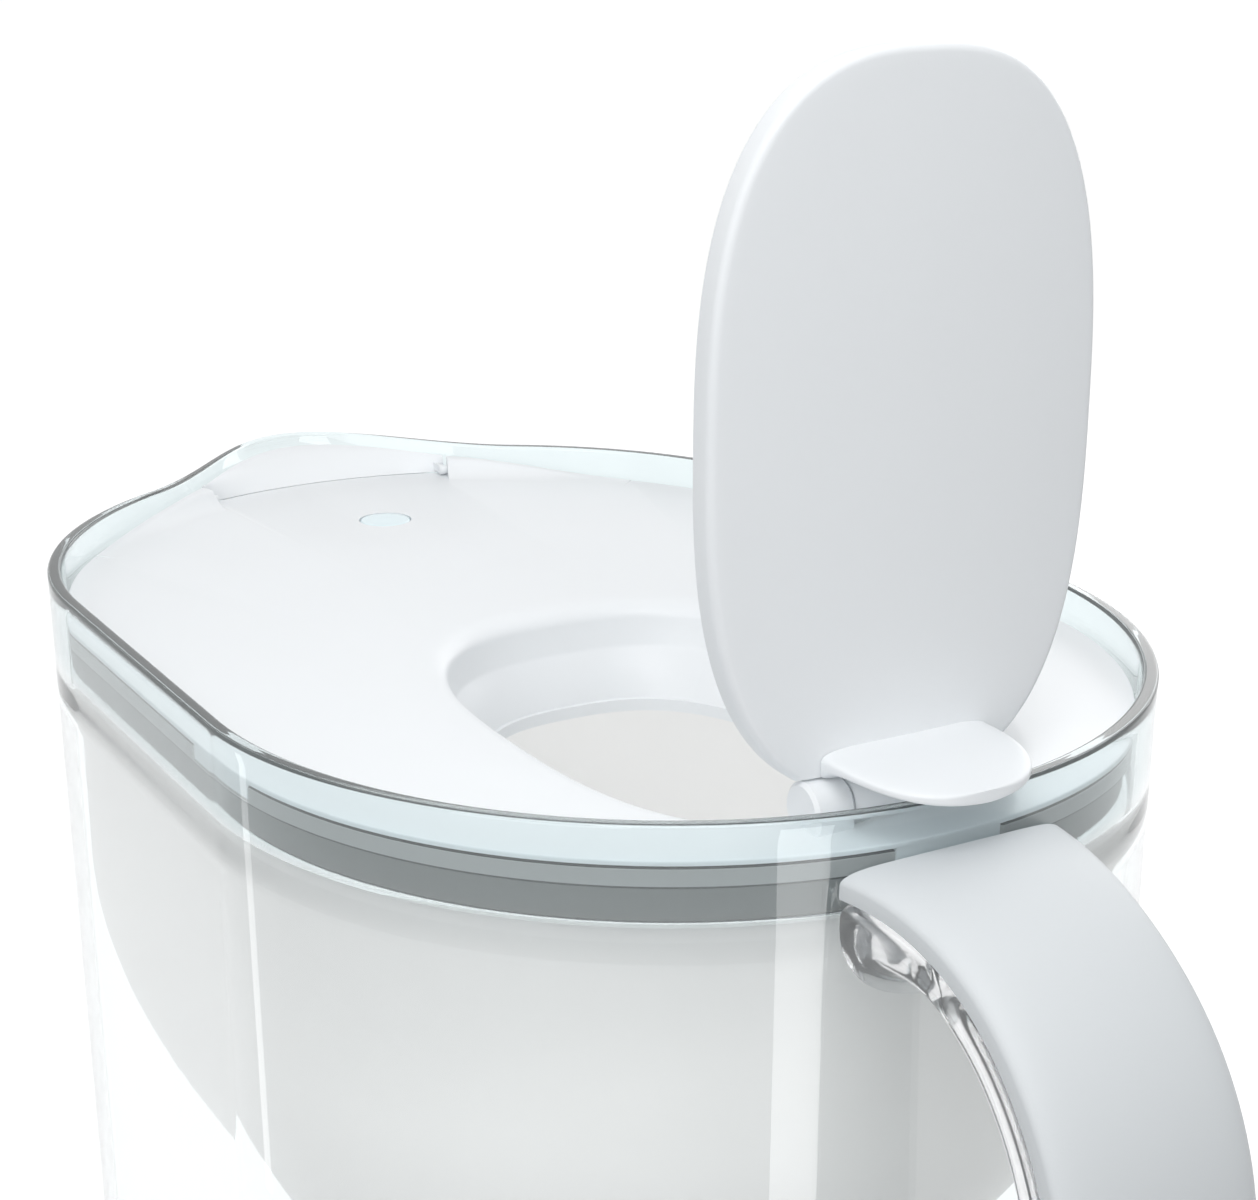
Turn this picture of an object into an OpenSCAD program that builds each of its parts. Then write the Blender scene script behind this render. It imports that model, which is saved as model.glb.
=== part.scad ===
// Water filter jug: clear oval body with a pouring beak and loop handle, lift-out
// hopper with a filter cartridge, and a lid plate with a flip lid and a spout flap.
// Millimetres, +Z up. The origin is the centre of the foot, the handle is at +X
// and the beak at -X. Heights named "drop" are measured down from the rim.

/* [Jug] */
// Height of the rim above the table
jug_h = 258; // [225:1:300]
// Radius of each rounded end at the rim, outside
rim_r = 72.7; // [68:0.1:80]
// Radius of each rounded end at the foot, outside
foot_r = 69.7; // [66:0.1:76]
// Distance between the centres of the two rounded ends
end_span = 62; // [56:1:80]
// Thickness of the jug wall
jug_wall = 2.3; // [2:0.1:2.6]
// Thickness of the jug floor
jug_floor = 3.2; // [2.5:0.1:5]
// Rounding where the wall meets the foot
foot_round = 9; // [6:0.5:14]
// Drop of the inner ledge that carries the hopper
ledge_drop = 14.2; // [13.6:0.1:16]
// How far the inner ledge stands in from the wall
ledge_in = 2.6; // [2.2:0.1:2.8]

/* [Beak] */
// How far the beak reaches out past the rounded end
beak_out = 18; // [12:0.5:22]
// Width of the beak at its root
beak_w = 76; // [64:1:84]
// Height over which the beak flares out
beak_h = 34; // [26:1:44]
// How much the beak's tip stands above the rim
beak_rise = 1; // [0:0.1:2]
// Bulge exponent of the flare, higher is flatter at the foot of the beak
beak_curve = 1.7; // [1.4:0.1:2.2]

/* [Handle] */
// Width of the clear handle core
handle_w = 29; // [24:0.5:32]
// Thickness of the clear handle core
core_t = 6.6; // [5:0.1:8]
// Thickness of the soft grip at its edges
grip_t = 3.4; // [2:0.1:4]
// Extra height of the grip along its middle
grip_crown = 1.1; // [0:0.1:2]
// Radius of the upper bend, to the middle of the core
upper_bend_r = 36; // [26:0.5:38]
// Radius of the lower bend, to the middle of the core
lower_bend_r = 25; // [18:0.5:30]
// Drop of the upper bend's centre
upper_bend_drop = 48.5; // [44:0.5:56]
// Drop of the lower bend's centre
lower_bend_drop = 142; // [125:1:160]
// Straight stub between the wall and each bend
handle_stub = 2; // [1.5:0.5:6]
// How much thicker the core is where it meets the wall
root_flare = 10; // [2:0.5:12]
// Distance from the wall over which that flare dies away
flare_run = 20; // [10:0.5:24]
// How much wider the handle is where it meets the wall
root_wide = 5; // [0:0.5:6]
// Distance from the wall over which that widening dies away
wide_run = 26; // [16:1:30]

/* [Hopper] */
// Drop of the top of the hopper's rim
hopper_drop = 6.5; // [6.3:0.1:7]
// Height of the hopper's rim band
band_h = 2.8; // [2.2:0.1:3.4]
// Gap between the hopper's rim band and the jug wall
band_gap = 0.7; // [0.4:0.1:1]
// How far the hopper's neck is set in behind the rim band
neck_in = 1.0; // [0.6:0.1:1.6]
// How far the hopper's wall is set in behind the rim band
bowl_in = 2.5; // [2.1:0.1:3]
// Thickness of the hopper wall
hopper_wall = 2; // [1.6:0.1:2.4]
// Drop at which the bowl starts to curve in
bowl_drop = 50; // [42:1:56]
// Drop of the floor that the cartridge hangs in
seat_drop = 115; // [105:1:125]
// Radius of the flat floor round the cartridge
seat_r = 36; // [34:0.5:40]
// Thickness of that floor
seat_t = 2.6; // [2:0.1:3.4]
// Depth of the collar under the floor
collar_h = 12; // [8:0.5:16]
// Depth of the channel in the bowl's beak end, where the water rises to the beak
channel_in = 8; // [5:0.5:10]

/* [Lid] */
// Drop of the lid plate's top
plate_drop = 5.5; // [5.2:0.1:5.8]
// Thickness of the lid plate
plate_t = 2; // [1.6:0.1:2.4]
// Height of the plate's thin edge over the hopper's rim
plate_edge = 0.7; // [0.5:0.1:0.9]
// Gap between the lid plate and the jug wall
plate_gap = 0.7; // [0.5:0.1:1]
// Depth of the locating rib under the plate
rib_h = 4; // [3:0.1:6]
// Thickness of the locating rib
rib_t = 1.8; // [1.4:0.1:2.2]
// Gap between the locating rib and the hopper
rib_gap = 0.4; // [0.3:0.1:0.6]
// How far the plate follows the beak out past its oval
nose_out = 2.8; // [2:0.1:3.2]
// Width of the tongue over the hopper's rim at the handle
tongue_w = 16; // [12:0.5:20]
// Height of the tongue and of the two side tabs
tongue_h = 2.4; // [1.8:0.1:2.6]
// Width of each side tab
tab_w = 18; // [12:0.5:22]

/* [Filling recess] */
// Half length of the recess at the plate's top
recess_a = 52.3; // [50:0.1:54]
// Half width of the recess at the plate's top
recess_b = 36.3; // [34:0.1:38]
// Distance from the hinge line to the recess's middle
recess_back = 47.5; // [46.5:0.1:48.5]
// How far the soft lip runs in before the wall
lip_in = 5; // [3.5:0.1:5.5]
// Height of the soft lip
lip_h = 2.7; // [2:0.1:3.5]
// Height of the wall below the lip
recess_wall_h = 4.2; // [3:0.1:6]
// Half length of the filling hole
hole_a = 41; // [36:0.5:42]
// Half width of the filling hole
hole_b = 25.5; // [22:0.5:27]
// Distance from the recess's middle to the hole's middle, towards the beak
hole_back = 1.4; // [0.5:0.1:2.5]
// Depth of the filling hole's edge below the plate's top
hole_depth = 15; // [13:0.5:18]

/* [Flip lid] */
// Half length of the flip lid
flip_a = 46.9; // [44:0.1:47.5]
// Half width of the flip lid
flip_b = 29.3; // [27:0.1:30]
// Depth of the flip lid's edge
flip_edge = 4; // [3:0.1:4.2]
// Thickness of the flip lid's face
flip_t = 2; // [1.6:0.1:2.4]
// How far the face is crowned outwards along its middle
flip_crown = 1.6; // [0:0.1:2.5]
// Squareness of the oval outlines, 2 is an ellipse
squareness = 2.7; // [2.3:0.1:3.2]
// How far the hinge line is set in from the plate's edge
hinge_in = 9.7; // [9.3:0.1:10.2]
// Drop of the hinge line
hinge_drop = 3.3; // [3:0.1:3.6]
// How far the open face stands in front of the hinge line
face_in_front = 0.5; // [0:0.1:1]
// Radius of the hinge barrel
barrel_r = 3.3; // [3:0.1:3.5]
// Half width of the hinge barrel
barrel_half = 9.4; // [8:0.1:10]
// Radius of the hinge pins
hinge_pin_r = 1.6; // [1.2:0.1:1.8]
// Length of each hinge pin
hinge_pin_l = 5.6; // [4:0.1:6]
// Thickness of each hinge lug
lug_t = 6; // [5:0.1:7]
// Radius of each hinge lug
lug_r = 3.7; // [3.3:0.1:4]
// Reach of the thumb tab from the hinge line
thumb_reach = 17.3; // [14:0.1:19]
// Half width of the thumb tab
thumb_half = 13.2; // [11:0.1:14]
// Thickness of the thumb tab at its tip
thumb_t = 1.6; // [1.3:0.1:2]

/* [Spout flap] */
// Half width of the spout flap
flap_half = 25.5; // [22:0.5:27]
// Thickness of the spout flap
flap_t = 1.6; // [1.3:0.1:2]
// Rise of the flap's sides and of the collar beside it
collar_rise = 3.4; // [2.5:0.1:4]
// Rise of the flap's tip
flap_rise = 4.7; // [4:0.1:5]
// Half width at which the collar has died away
collar_end = 55; // [48:1:60]
// Thickness of the collar at its top
collar_t = 1.6; // [1.2:0.1:2.2]
// Radius of the flap's pins
flap_pin_r = 0.8; // [0.7:0.05:0.9]
// Length of each flap pin past the seam
flap_pin_l = 1.5; // [1.2:0.1:1.7]

/* [Filter change indicator] */
// How far the middle of the indicator is set in from the plate's oval
indicator_in = 29.6; // [26:0.1:36]
// Radius of the button's lens
lens_r = 4.7; // [4:0.1:6]
// Travel of the button
press_travel = 0.6; // [0.3:0.1:0.8]
// Inner radius of the electronics housing
pod_r = 13; // [11.5:0.5:14]
// Inner depth of the electronics housing
pod_h = 9.6; // [9:0.1:12]
// Wall of the electronics housing
pod_wall = 1.2; // [1:0.1:1.6]
// Radius of the coin cell
cell_r = 10; // [8:0.5:10]
// Thickness of the coin cell
cell_t = 3.2; // [2.5:0.1:3.2]
// Thickness of the circuit board
board_t = 1; // [0.8:0.1:1.6]

/* [Cartridge] */
// Radius of the cartridge at the hopper's floor
cart_r = 26; // [24:0.5:27]
// Radius of the cartridge at its bottom
cart_foot_r = 23.5; // [22:0.5:25]
// Length of the cartridge below the hopper's floor
cart_h = 76; // [60:1:85]
// Wall of the cartridge
cart_wall = 1.5; // [1.2:0.1:2]
// Reach of the cartridge's flange over the hopper's floor
cart_flange = 4.5; // [4:0.1:6]
// Height of the cartridge's cap
cap_h = 26; // [22:1:32]
// Number of slots round the cap and in the cartridge's bottom
cart_slots = 12; // [8:1:16]

/* [Hidden] */

// Steps round an oval section, and round a small section
N = 60;
n_small = 24;
// Running clearance of a pin in its bore, and gap between still pieces
run_gap = 0.06;
seat_gap = 0.1;
$fn = 48;

half_span = end_span / 2;
plate_z = jug_h - plate_drop;
edge_r = mix(foot_r, rim_r, plate_z / jug_h) - jug_wall - plate_gap;
hinge_x = half_span + edge_r - hinge_in;
recess_x = hinge_x - recess_back;
hole_x = recess_x - hole_back;
indicator_x = indicator_in - half_span - edge_r;
hinge_z = jug_h - hinge_drop;
seat_z = jug_h - seat_drop;
hopper_z = jug_h - hopper_drop;

// ---- general shapes -------------------------------------------------------

function step_angle(i, n) = 360 * (i + 0.5) / n;
function sgn_pow(v, e) = sign(v) * pow(abs(v), e);
function mix(a, b, t) = a + (b - a) * t;
function clamp01(t) = min(1, max(0, t));

// Point of an oval with round ends of radius r
function oval_pt(r, half, a) = [r * cos(a) + (cos(a) > 0 ? half : -half), r * sin(a)];

// Point of a squared ellipse
function squared_pt(a_half, b_half, a) =
    [a_half * sgn_pow(cos(a), 2 / squareness), b_half * sgn_pow(sin(a), 2 / squareness)];

// Share of the beak's reach at a distance y from its middle
function beak_bump(y) = abs(y) < beak_w / 2 ? pow(cos(180 * y / beak_w), 2) : 0;

// Reach of the beak at a height z
function beak_at(z) = beak_out * pow(clamp01((z - jug_h + beak_h) / beak_h), beak_curve);

// Outer radius of the jug's ends at a height z
function jug_r(z) = mix(foot_r, rim_r, z / jug_h);

// Oval ring at height z, pushed out by the beak where it faces -X
function beak_ring(r, z, reach, rise = 0) =
    [for (i = [0:N - 1])
        let (p = oval_pt(r, half_span, step_angle(i, N)), b = p[0] < 0 ? beak_bump(p[1]) : 0)
        [p[0] - reach * b, p[1], z + rise * b]];

function oval_ring(r, z, half = half_span) =
    [for (i = [0:N - 1]) let (p = oval_pt(r, half, step_angle(i, N))) [p[0], p[1], z]];

function squared_ring(cx, a_half, b_half, z) =
    [for (i = [0:N - 1]) let (p = squared_pt(a_half, b_half, step_angle(i, N))) [cx + p[0], p[1], z]];

// Solid through a row of rings. A closed row joins its last ring to its first,
// an open row is capped at both ends.
module loft(rings, closed = false) {
    n = len(rings[0]);
    m = len(rings);
    sides = [for (j = [0:m - (closed ? 1 : 2)], i = [0:n - 1])
        let (a = j * n + i, b = j * n + (i + 1) % n,
             c = ((j + 1) % m) * n + i, d = ((j + 1) % m) * n + (i + 1) % n)
        each [[a, c, d], [a, d, b]]];
    caps = closed ? [] : [[for (i = [0:n - 1]) i], [for (i = [n - 1:-1:0]) (m - 1) * n + i]];
    polyhedron(points = [for (r = rings) each r], faces = concat(sides, caps), convexity = 10);
}

// Cylinder along Y between two places
module rod_y(r, x, z, y0, y1) {
    translate([x, y0, z])
        rotate([-90, 0, 0])
            cylinder(r = r, h = y1 - y0);
}

// ---- jug ------------------------------------------------------------------

ledge_z = jug_h - ledge_drop;
rim_round = jug_wall / 2;
inner_round = foot_round - jug_wall;
beak_levels = [for (k = [0:5]) jug_h - beak_h * (1 - k / 6)];

function wall_ring(r_in, z) = beak_ring(jug_r(z) - r_in, z, beak_at(z), z > jug_h - 8 ? beak_rise : 0);

// Outside of the jug, grown outwards by a gap
function outer_rings(gap) = concat(
    [for (a = [0:22.5:90])
        let (z = foot_round * (1 - cos(a))) oval_ring(jug_r(z) - foot_round * (1 - sin(a)) + gap, z)],
    [oval_ring(jug_r(jug_h / 2) + gap, jug_h / 2)],
    [for (z = beak_levels) wall_ring(-gap, z)]);

jug_rings = concat(
    outer_rings(0),
    [for (a = [0:45:180])
        beak_ring(rim_r - rim_round * (1 - cos(a)), jug_h - rim_round * (1 - sin(a)),
                  beak_out, beak_rise)],
    [wall_ring(jug_wall, jug_h - 8), wall_ring(jug_wall, ledge_z),
     wall_ring(jug_wall + ledge_in, ledge_z - 0.01), wall_ring(jug_wall + ledge_in, ledge_z - 2),
     wall_ring(jug_wall, ledge_z - 6)],
    [for (k = [3:-1:0]) if (beak_levels[k] < ledge_z - 7) wall_ring(jug_wall, beak_levels[k])],
    [oval_ring(jug_r(jug_h / 2) - jug_wall, jug_h / 2)],
    [for (a = [90:-22.5:0])
        let (z = jug_floor + inner_round * (1 - cos(a)))
        oval_ring(jug_r(z) - jug_wall - inner_round * (1 - sin(a)), z)]);

// Handle path: out of the wall, round the upper bend, down, and back in
wall_x = half_span + jug_r(jug_h - upper_bend_drop) - jug_wall / 2;
lower_wall_x = half_span + jug_r(jug_h - lower_bend_drop - lower_bend_r) - jug_wall / 2;
upper_c = [wall_x + handle_stub, jug_h - upper_bend_drop];
lower_c = [wall_x + handle_stub, jug_h - lower_bend_drop];
bend_gap = norm(upper_c - lower_c);
run_angle = -90 + acos((upper_bend_r - lower_bend_r) / bend_gap);

function bend_pt(c, r, a) = [c[0] + r * cos(a), c[1] + r * sin(a), a];

handle_path = concat(
    [for (x = [wall_x - 6, wall_x, wall_x + handle_stub / 2]) [x, upper_c[1] + upper_bend_r, 90]],
    [for (k = [0:9]) bend_pt(upper_c, upper_bend_r, mix(90, run_angle, k / 9))],
    [for (k = [0:6]) bend_pt(lower_c, lower_bend_r, mix(run_angle, -90, k / 6))],
    [for (x = [wall_x + handle_stub / 2, wall_x, lower_wall_x - 6]) [x, lower_c[1] - lower_bend_r, -90]]);

// Handle section at a path point: u runs outwards from the path, v across it
function handle_ring(p, section) =
    [for (s = section) [p[0] + s[0] * cos(p[2]), -s[1], p[1] + s[0] * sin(p[2])]];

// How much wider than its middle the handle is at a path point
function widen(p) = 1 + root_wide / handle_w * pow(clamp01(1 - (p[0] - wall_x) / wide_run), 2);

// Core section at a path point, thicker and rounder on its inner side near the wall
function root_section(p) =
    let (near = clamp01(1 - (p[0] - wall_x) / flare_run), inner_t = core_t / 2 + root_flare * near * near)
    [for (i = [0:15])
        let (c = cos(step_angle(i, 16)), e = c > 0 ? 0.5 : mix(0.5, 0.9, near))
        [(c > 0 ? core_t / 2 : inner_t) * sgn_pow(c, e) - grip_t / 2,
         handle_w / 2 * widen(p) * sgn_pow(sin(step_angle(i, 16)), e)]];

module jug_body() {
    color([0.86, 0.92, 0.95, 0.4])
        loft(jug_rings);
}

module handle_core() {
    color([0.86, 0.92, 0.95, 0.4])
        difference() {
            loft([for (p = handle_path) handle_ring(p, root_section(p))]);
            loft(outer_rings(seat_gap / 2));
        }
}

// Grip: a crowned strip that lies on the outer face of the core
grip_bed = core_t / 2 - grip_t / 2 + seat_gap;
grip_half = handle_w / 2 + 0.3;
grip_gap = 0.3;
grip_side = grip_t * 0.55;
function grip_height(v) = grip_side + (grip_t - grip_side) * sqrt(1 - pow(abs(v), 8)) + grip_crown * (1 - v * v);
grip_section = concat(
    [[grip_bed, -grip_half]],
    [for (v = [-1, -0.94, -0.8, -0.4, 0, 0.4, 0.8, 0.94, 1]) [grip_bed + grip_height(v), grip_half * v]],
    [[grip_bed, grip_half]]);
grip_path = concat(
    [for (x = [wall_x - 6, wall_x]) [x, upper_c[1] + upper_bend_r, 90]],
    [bend_pt(upper_c, upper_bend_r, 90)],
    [for (k = [1:9]) bend_pt(upper_c, upper_bend_r, mix(90, run_angle, k / 9))],
    [for (k = [0:5]) bend_pt(lower_c, lower_bend_r, mix(run_angle, -90, k / 6))]);

module handle_grip() {
    color("white")
        difference() {
            loft([for (p = grip_path) handle_ring(p, [for (s = grip_section) [s[0], s[1] * widen(p)]])]);
            loft(outer_rings(grip_gap));
        }
}

// ---- hopper ---------------------------------------------------------------

band_r = jug_r(hopper_z) - jug_wall - band_gap;
bowl_r = band_r - bowl_in;
bowl_h = seat_drop - bowl_drop;

function bowl_share(t) = 1 - t * t;

// Oval ring with the channel set into its beak end
function channel_ring(r, z, half, depth) =
    [for (p = oval_ring(r, z, half)) [p[0] + (p[0] < 0 ? depth * beak_bump(p[1]) : 0), p[1], z]];

function bowl_ring(z, t, inset) =
    channel_ring(mix(seat_r, bowl_r, bowl_share(t)) - inset, z, half_span * bowl_share(t),
                 channel_in * bowl_share(t));

hopper_rings = concat(
    [oval_ring(seat_r, seat_z - seat_t, 0)],
    [for (t = [1:-1 / 8:0]) bowl_ring(jug_h - bowl_drop - bowl_h * t, t, 0)],
    [channel_ring(bowl_r, ledge_z + seat_gap, half_span, channel_in),
     oval_ring(band_r - neck_in, ledge_z + seat_gap),
     oval_ring(band_r - neck_in, hopper_z - band_h), oval_ring(band_r, hopper_z - band_h),
     oval_ring(band_r, hopper_z), oval_ring(bowl_r - hopper_wall, hopper_z),
     oval_ring(bowl_r - hopper_wall, ledge_z + seat_gap + hopper_wall),
     channel_ring(bowl_r - hopper_wall, ledge_z + seat_gap + hopper_wall, half_span, channel_in)],
    [for (t = [0:1 / 8:1]) bowl_ring(jug_h - bowl_drop - bowl_h * t, t, hopper_wall)]);

cart_bore_r = cart_r + 0.5;

module hopper() {
    color("whitesmoke")
        difference() {
            union() {
                loft(hopper_rings);
                translate([0, 0, seat_z - seat_t - collar_h])
                    cylinder(r = cart_bore_r + hopper_wall, h = collar_h + seat_t);
            }
            translate([0, 0, seat_z - seat_t - collar_h - 1])
                cylinder(r = cart_bore_r, h = collar_h + seat_t + 2);
            // Room for the lid's tongue and side tabs
            translate([half_span + band_r - 3, -tongue_w / 2 - 0.3, hopper_z - tongue_h - 0.2])
                cube([6, tongue_w + 0.6, tongue_h + 1]);
            for (side = [-1, 1])
                translate([half_span - tab_w / 2 - 0.3, side * (band_r - 0.5) - 2.5, hopper_z - tongue_h - 0.2])
                    cube([tab_w + 0.6, 5, tongue_h + 1]);
        }
}

// ---- lid ------------------------------------------------------------------

rib_in_r = bowl_r - hopper_wall - rib_gap - rib_t;
rib_z = plate_z - plate_edge - rib_h;
wall_foot = lip_h + recess_wall_h;

function nose(y) = min(nose_out, beak_at(plate_z) * beak_bump(y));

function edge_ring(r, z) =
    [for (i = [0:N - 1])
        let (p = oval_pt(r, half_span, step_angle(i, N)))
        [p[0] - (p[0] < 0 ? nose(p[1]) : 0), p[1], z]];

// Ring of the recess, a given way in from its edge and down from the plate's top
function recess_ring(inset, depth) =
    squared_ring(recess_x, recess_a - inset, recess_b - inset, plate_z - depth);

lid_rings = concat(
    [edge_ring(edge_r, plate_z - plate_edge), edge_ring(edge_r, plate_z - 0.25),
     edge_ring(edge_r - 0.25, plate_z)],
    [for (a = [0:30:90]) recess_ring(lip_in * sin(a), lip_h * (1 - cos(a)))],
    [recess_ring(lip_in + 0.6, wall_foot), recess_ring(lip_in + 2, wall_foot + 1.3),
     squared_ring(hole_x, hole_a, hole_b, plate_z - hole_depth),
     squared_ring(hole_x, hole_a, hole_b, plate_z - hole_depth - plate_t),
     recess_ring(lip_in + 1.2, wall_foot + 1.3 + plate_t),
     recess_ring(lip_in + 0.6 - plate_t, wall_foot),
     recess_ring(lip_in - plate_t, plate_t),
     oval_ring(rib_in_r, plate_z - plate_t), oval_ring(rib_in_r, rib_z),
     oval_ring(rib_in_r + rib_t, rib_z), oval_ring(rib_in_r + rib_t, plate_z - plate_edge)]);

// Collar beside the flap: a low wall that dies away along the plate's edge
flap_seam = flap_half + 0.4;
collar_steps = 8;

function edge_x(y) = -half_span - sqrt(edge_r * edge_r - y * y) - nose(y);

function collar_ring(y, rise) =
    let (x = edge_x(y), away = [x + half_span, y] / norm([x + half_span, y]),
         place = function(inset, up) [x - away[0] * inset, y - away[1] * inset, plate_z + up])
    [place(0.1, -plate_edge / 2), place(0.1, rise), place(collar_t, rise),
     place(collar_t + 1, rise * 0.45), place(collar_t + 2.4, rise * 0.12), place(collar_t + 4, -plate_edge / 2)];

module collar() {
    loft([for (k = [0:collar_steps])
        let (t = k / collar_steps, y = mix(flap_seam, collar_end, t))
        collar_ring(y, mix(collar_rise, 0.15, t * t * (3 - 2 * t)))]);
}

// Flap hinge line
flap_x = edge_x(flap_half) + 2.1;
flap_z = plate_z + 1.1;
flap_hub_r = flap_pin_r + 0.3;
flap_seat_r = flap_pin_r + 0.55;

pod_top = plate_z - plate_t - seat_gap;
pod_out_r = pod_r + pod_wall;

module tube(r_out, r_in, h) {
    difference() {
        cylinder(r = r_out, h = h);
        translate([0, 0, -1])
            cylinder(r = r_in, h = h + 2);
    }
}

barrel_gap = 0.4;
post_in = 0.8;
post_out = 0.6;
post_foot = plate_z - wall_foot - 2.8;

module hinge_lugs() {
    for (side = [-1, 1]) {
        y0 = side > 0 ? barrel_half + barrel_gap : -barrel_half - barrel_gap - lug_t;
        rod_y(lug_r, hinge_x, hinge_z, y0, y0 + lug_t);
        translate([hinge_x - lug_r + post_in, y0, post_foot])
            cube([2 * lug_r - post_in - post_out, lug_t, hinge_z - post_foot]);
    }
}

tongue_t = 1.8;
tab_t = 1.6;

module lid_tongues() {
    tongue_z = plate_z - plate_edge - tongue_h;
    intersection() {
        translate([half_span, 0, tongue_z])
            tube(edge_r, edge_r - tongue_t, tongue_h + plate_edge / 2);
        translate([half_span, -tongue_w / 2, tongue_z])
            cube([edge_r + 1, tongue_w, tongue_h + plate_edge]);
    }
    for (side = [-1, 1])
        translate([half_span - tab_w / 2, side * (edge_r - tab_t) - tab_t / 2, tongue_z])
            cube([tab_w, tab_t, tongue_h + plate_edge / 2]);
}

housing_ring_t = 1.3;
housing_ring_h = 3;
rest_size = [2.4, 3.6, 1.6];
rest_y = 14;
trough_gap = 0.4;
trough_w = 2.4;

module lid_cover() {
    color("white")
        difference() {
            union() {
                loft(lid_rings, closed = true);
                collar();
                mirror([0, 1, 0])
                    collar();
                hinge_lugs();
                lid_tongues();
                for (side = [-1, 1])
                    rod_y(flap_seat_r, flap_x, flap_z,
                          side > 0 ? flap_seam : -flap_seam - flap_pin_l - 0.3,
                          side > 0 ? flap_seam + flap_pin_l + 0.3 : -flap_seam);
                // Ring that holds the electronics housing
                translate([indicator_x, 0, pod_top - housing_ring_h])
                    tube(pod_out_r + housing_ring_t, pod_out_r + seat_gap, housing_ring_h + plate_t / 2);
                // Rest for the closed flip lid
                translate([recess_x - recess_a + lip_in - rest_size[0] / 4, rest_y, plate_z - lip_h - rest_size[2]])
                    cube(rest_size);
            }
            // Pocket for the flip lid's barrel
            rod_y(barrel_r + 0.5, hinge_x, hinge_z, -barrel_half - barrel_gap, barrel_half + barrel_gap);
            // Bores for the flip lid's pins
            for (side = [-1, 1])
                rod_y(hinge_pin_r + run_gap, hinge_x, hinge_z,
                      side > 0 ? barrel_half : -barrel_half - lug_t - 1,
                      side > 0 ? barrel_half + lug_t + 1 : -barrel_half);
            // Bores and room for the spout flap's pins and barrels
            rod_y(flap_pin_r + run_gap, flap_x, flap_z, -flap_seam - flap_pin_l - 0.1, flap_seam + flap_pin_l + 0.1);
            for (side = [-1, 1])
                rod_y(flap_hub_r + trough_gap, flap_x, flap_z,
                      side > 0 ? flap_half - trough_w : -flap_seam, side > 0 ? flap_seam : trough_w - flap_half);
            // Hole for the indicator's lens
            translate([indicator_x, 0, plate_z - plate_t - 1])
                cylinder(r = lens_r + 0.1, h = plate_t + 2);
        }
}

// ---- flip lid, drawn open -------------------------------------------------

face_x = hinge_x + face_in_front;
flip_mid = hinge_z + flip_a;

// Ring of the flip lid: inset from its outline, back from its crowned face
function flip_ring(inset, back, flat = false) =
    [for (i = [0:N / 2 - 1])
        let (a = step_angle(i, N / 2), y = (flip_b - inset) * sgn_pow(sin(a), 2 / squareness),
             z = (flip_a - inset) * sgn_pow(cos(a), 2 / squareness))
        [face_x - back - (flat ? 0 : flip_crown * pow(y / flip_b, 2)), y, flip_mid + z]];

flip_rings = [
    flip_ring(flip_b * 0.9, 0, true), flip_ring(flip_b * 0.6, 0), flip_ring(flip_b * 0.3, 0),
    flip_ring(flip_b * 0.12, 0), flip_ring(0.9, 0), flip_ring(0.25, 0.3), flip_ring(0, 1),
    flip_ring(0, flip_edge - 0.4), flip_ring(0.4, flip_edge), flip_ring(flip_t - 0.2, flip_edge),
    flip_ring(flip_t, flip_t), flip_ring(flip_b * 0.3, flip_t), flip_ring(flip_b * 0.6, flip_t),
    flip_ring(flip_b * 0.9, flip_t, true)];

// Ring of the thumb tab at a share t of its reach
function thumb_ring(t) =
    let (half = thumb_half * pow(1 - pow(t, 2.6), 1 / 2.6),
         root = pow(1 - t, 9),
         thick = thumb_t + 0.3 * (1 - t) + 3 * root,
         top = jug_h + 3.7 - 1.4 * t * t + 0.6 * root)
    [for (i = [0:n_small - 1])
        let (a = step_angle(i, n_small))
        [hinge_x + thumb_reach * t, half * sgn_pow(cos(a), 0.7),
         top - thick / 2 + thick / 2 * sgn_pow(sin(a), 0.8)]];

lug_gap = 0.35;

module flip_lid() {
    color("white")
        difference() {
            union() {
                loft(flip_rings);
                loft([for (t = [0.02, 0.1, 0.2, 0.35, 0.5, 0.65, 0.78, 0.88, 0.95, 0.99]) thumb_ring(t)]);
                rod_y(barrel_r, hinge_x, hinge_z, -barrel_half, barrel_half);
            }
            // Room for the lugs and, when closed, for the posts below them
            for (side = [-1, 1]) {
                room = lug_t + 2 * barrel_gap;
                y0 = side > 0 ? barrel_half : -barrel_half - room;
                rod_y(lug_r + lug_gap, hinge_x, hinge_z, y0, y0 + room);
                translate([hinge_x - lug_r - 3, y0, hinge_z - lug_r])
                    cube([lug_r + 3, room, 2 * lug_r - post_in + 0.5]);
            }
        }
    color("white")
        rod_y(hinge_pin_r, hinge_x, hinge_z, -barrel_half - hinge_pin_l, barrel_half + hinge_pin_l);
}

// ---- spout flap -----------------------------------------------------------

flap_cols = 20;
flap_gap = 0.3;
flap_side_t = 0.6;
flap_bend = 1.6;
flap_steps = [0, 0.2, 0.45, 0.7, 1];

function flap_thick(y) = mix(flap_t, flap_side_t, pow(y / flap_half, 2));
function beak_wall_x(y) =
    -half_span - sqrt(pow(jug_r(plate_z) - jug_wall, 2) - y * y) - beak_at(jug_h - 2) * beak_bump(y);
function flap_fold_x(y) = edge_x(y) - flap_gap;
function flap_tip_x(y) =
    min(beak_wall_x(y) + 0.9 + flap_thick(y) * pow(y / flap_half, 2), flap_fold_x(y) - 0.2);

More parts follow.
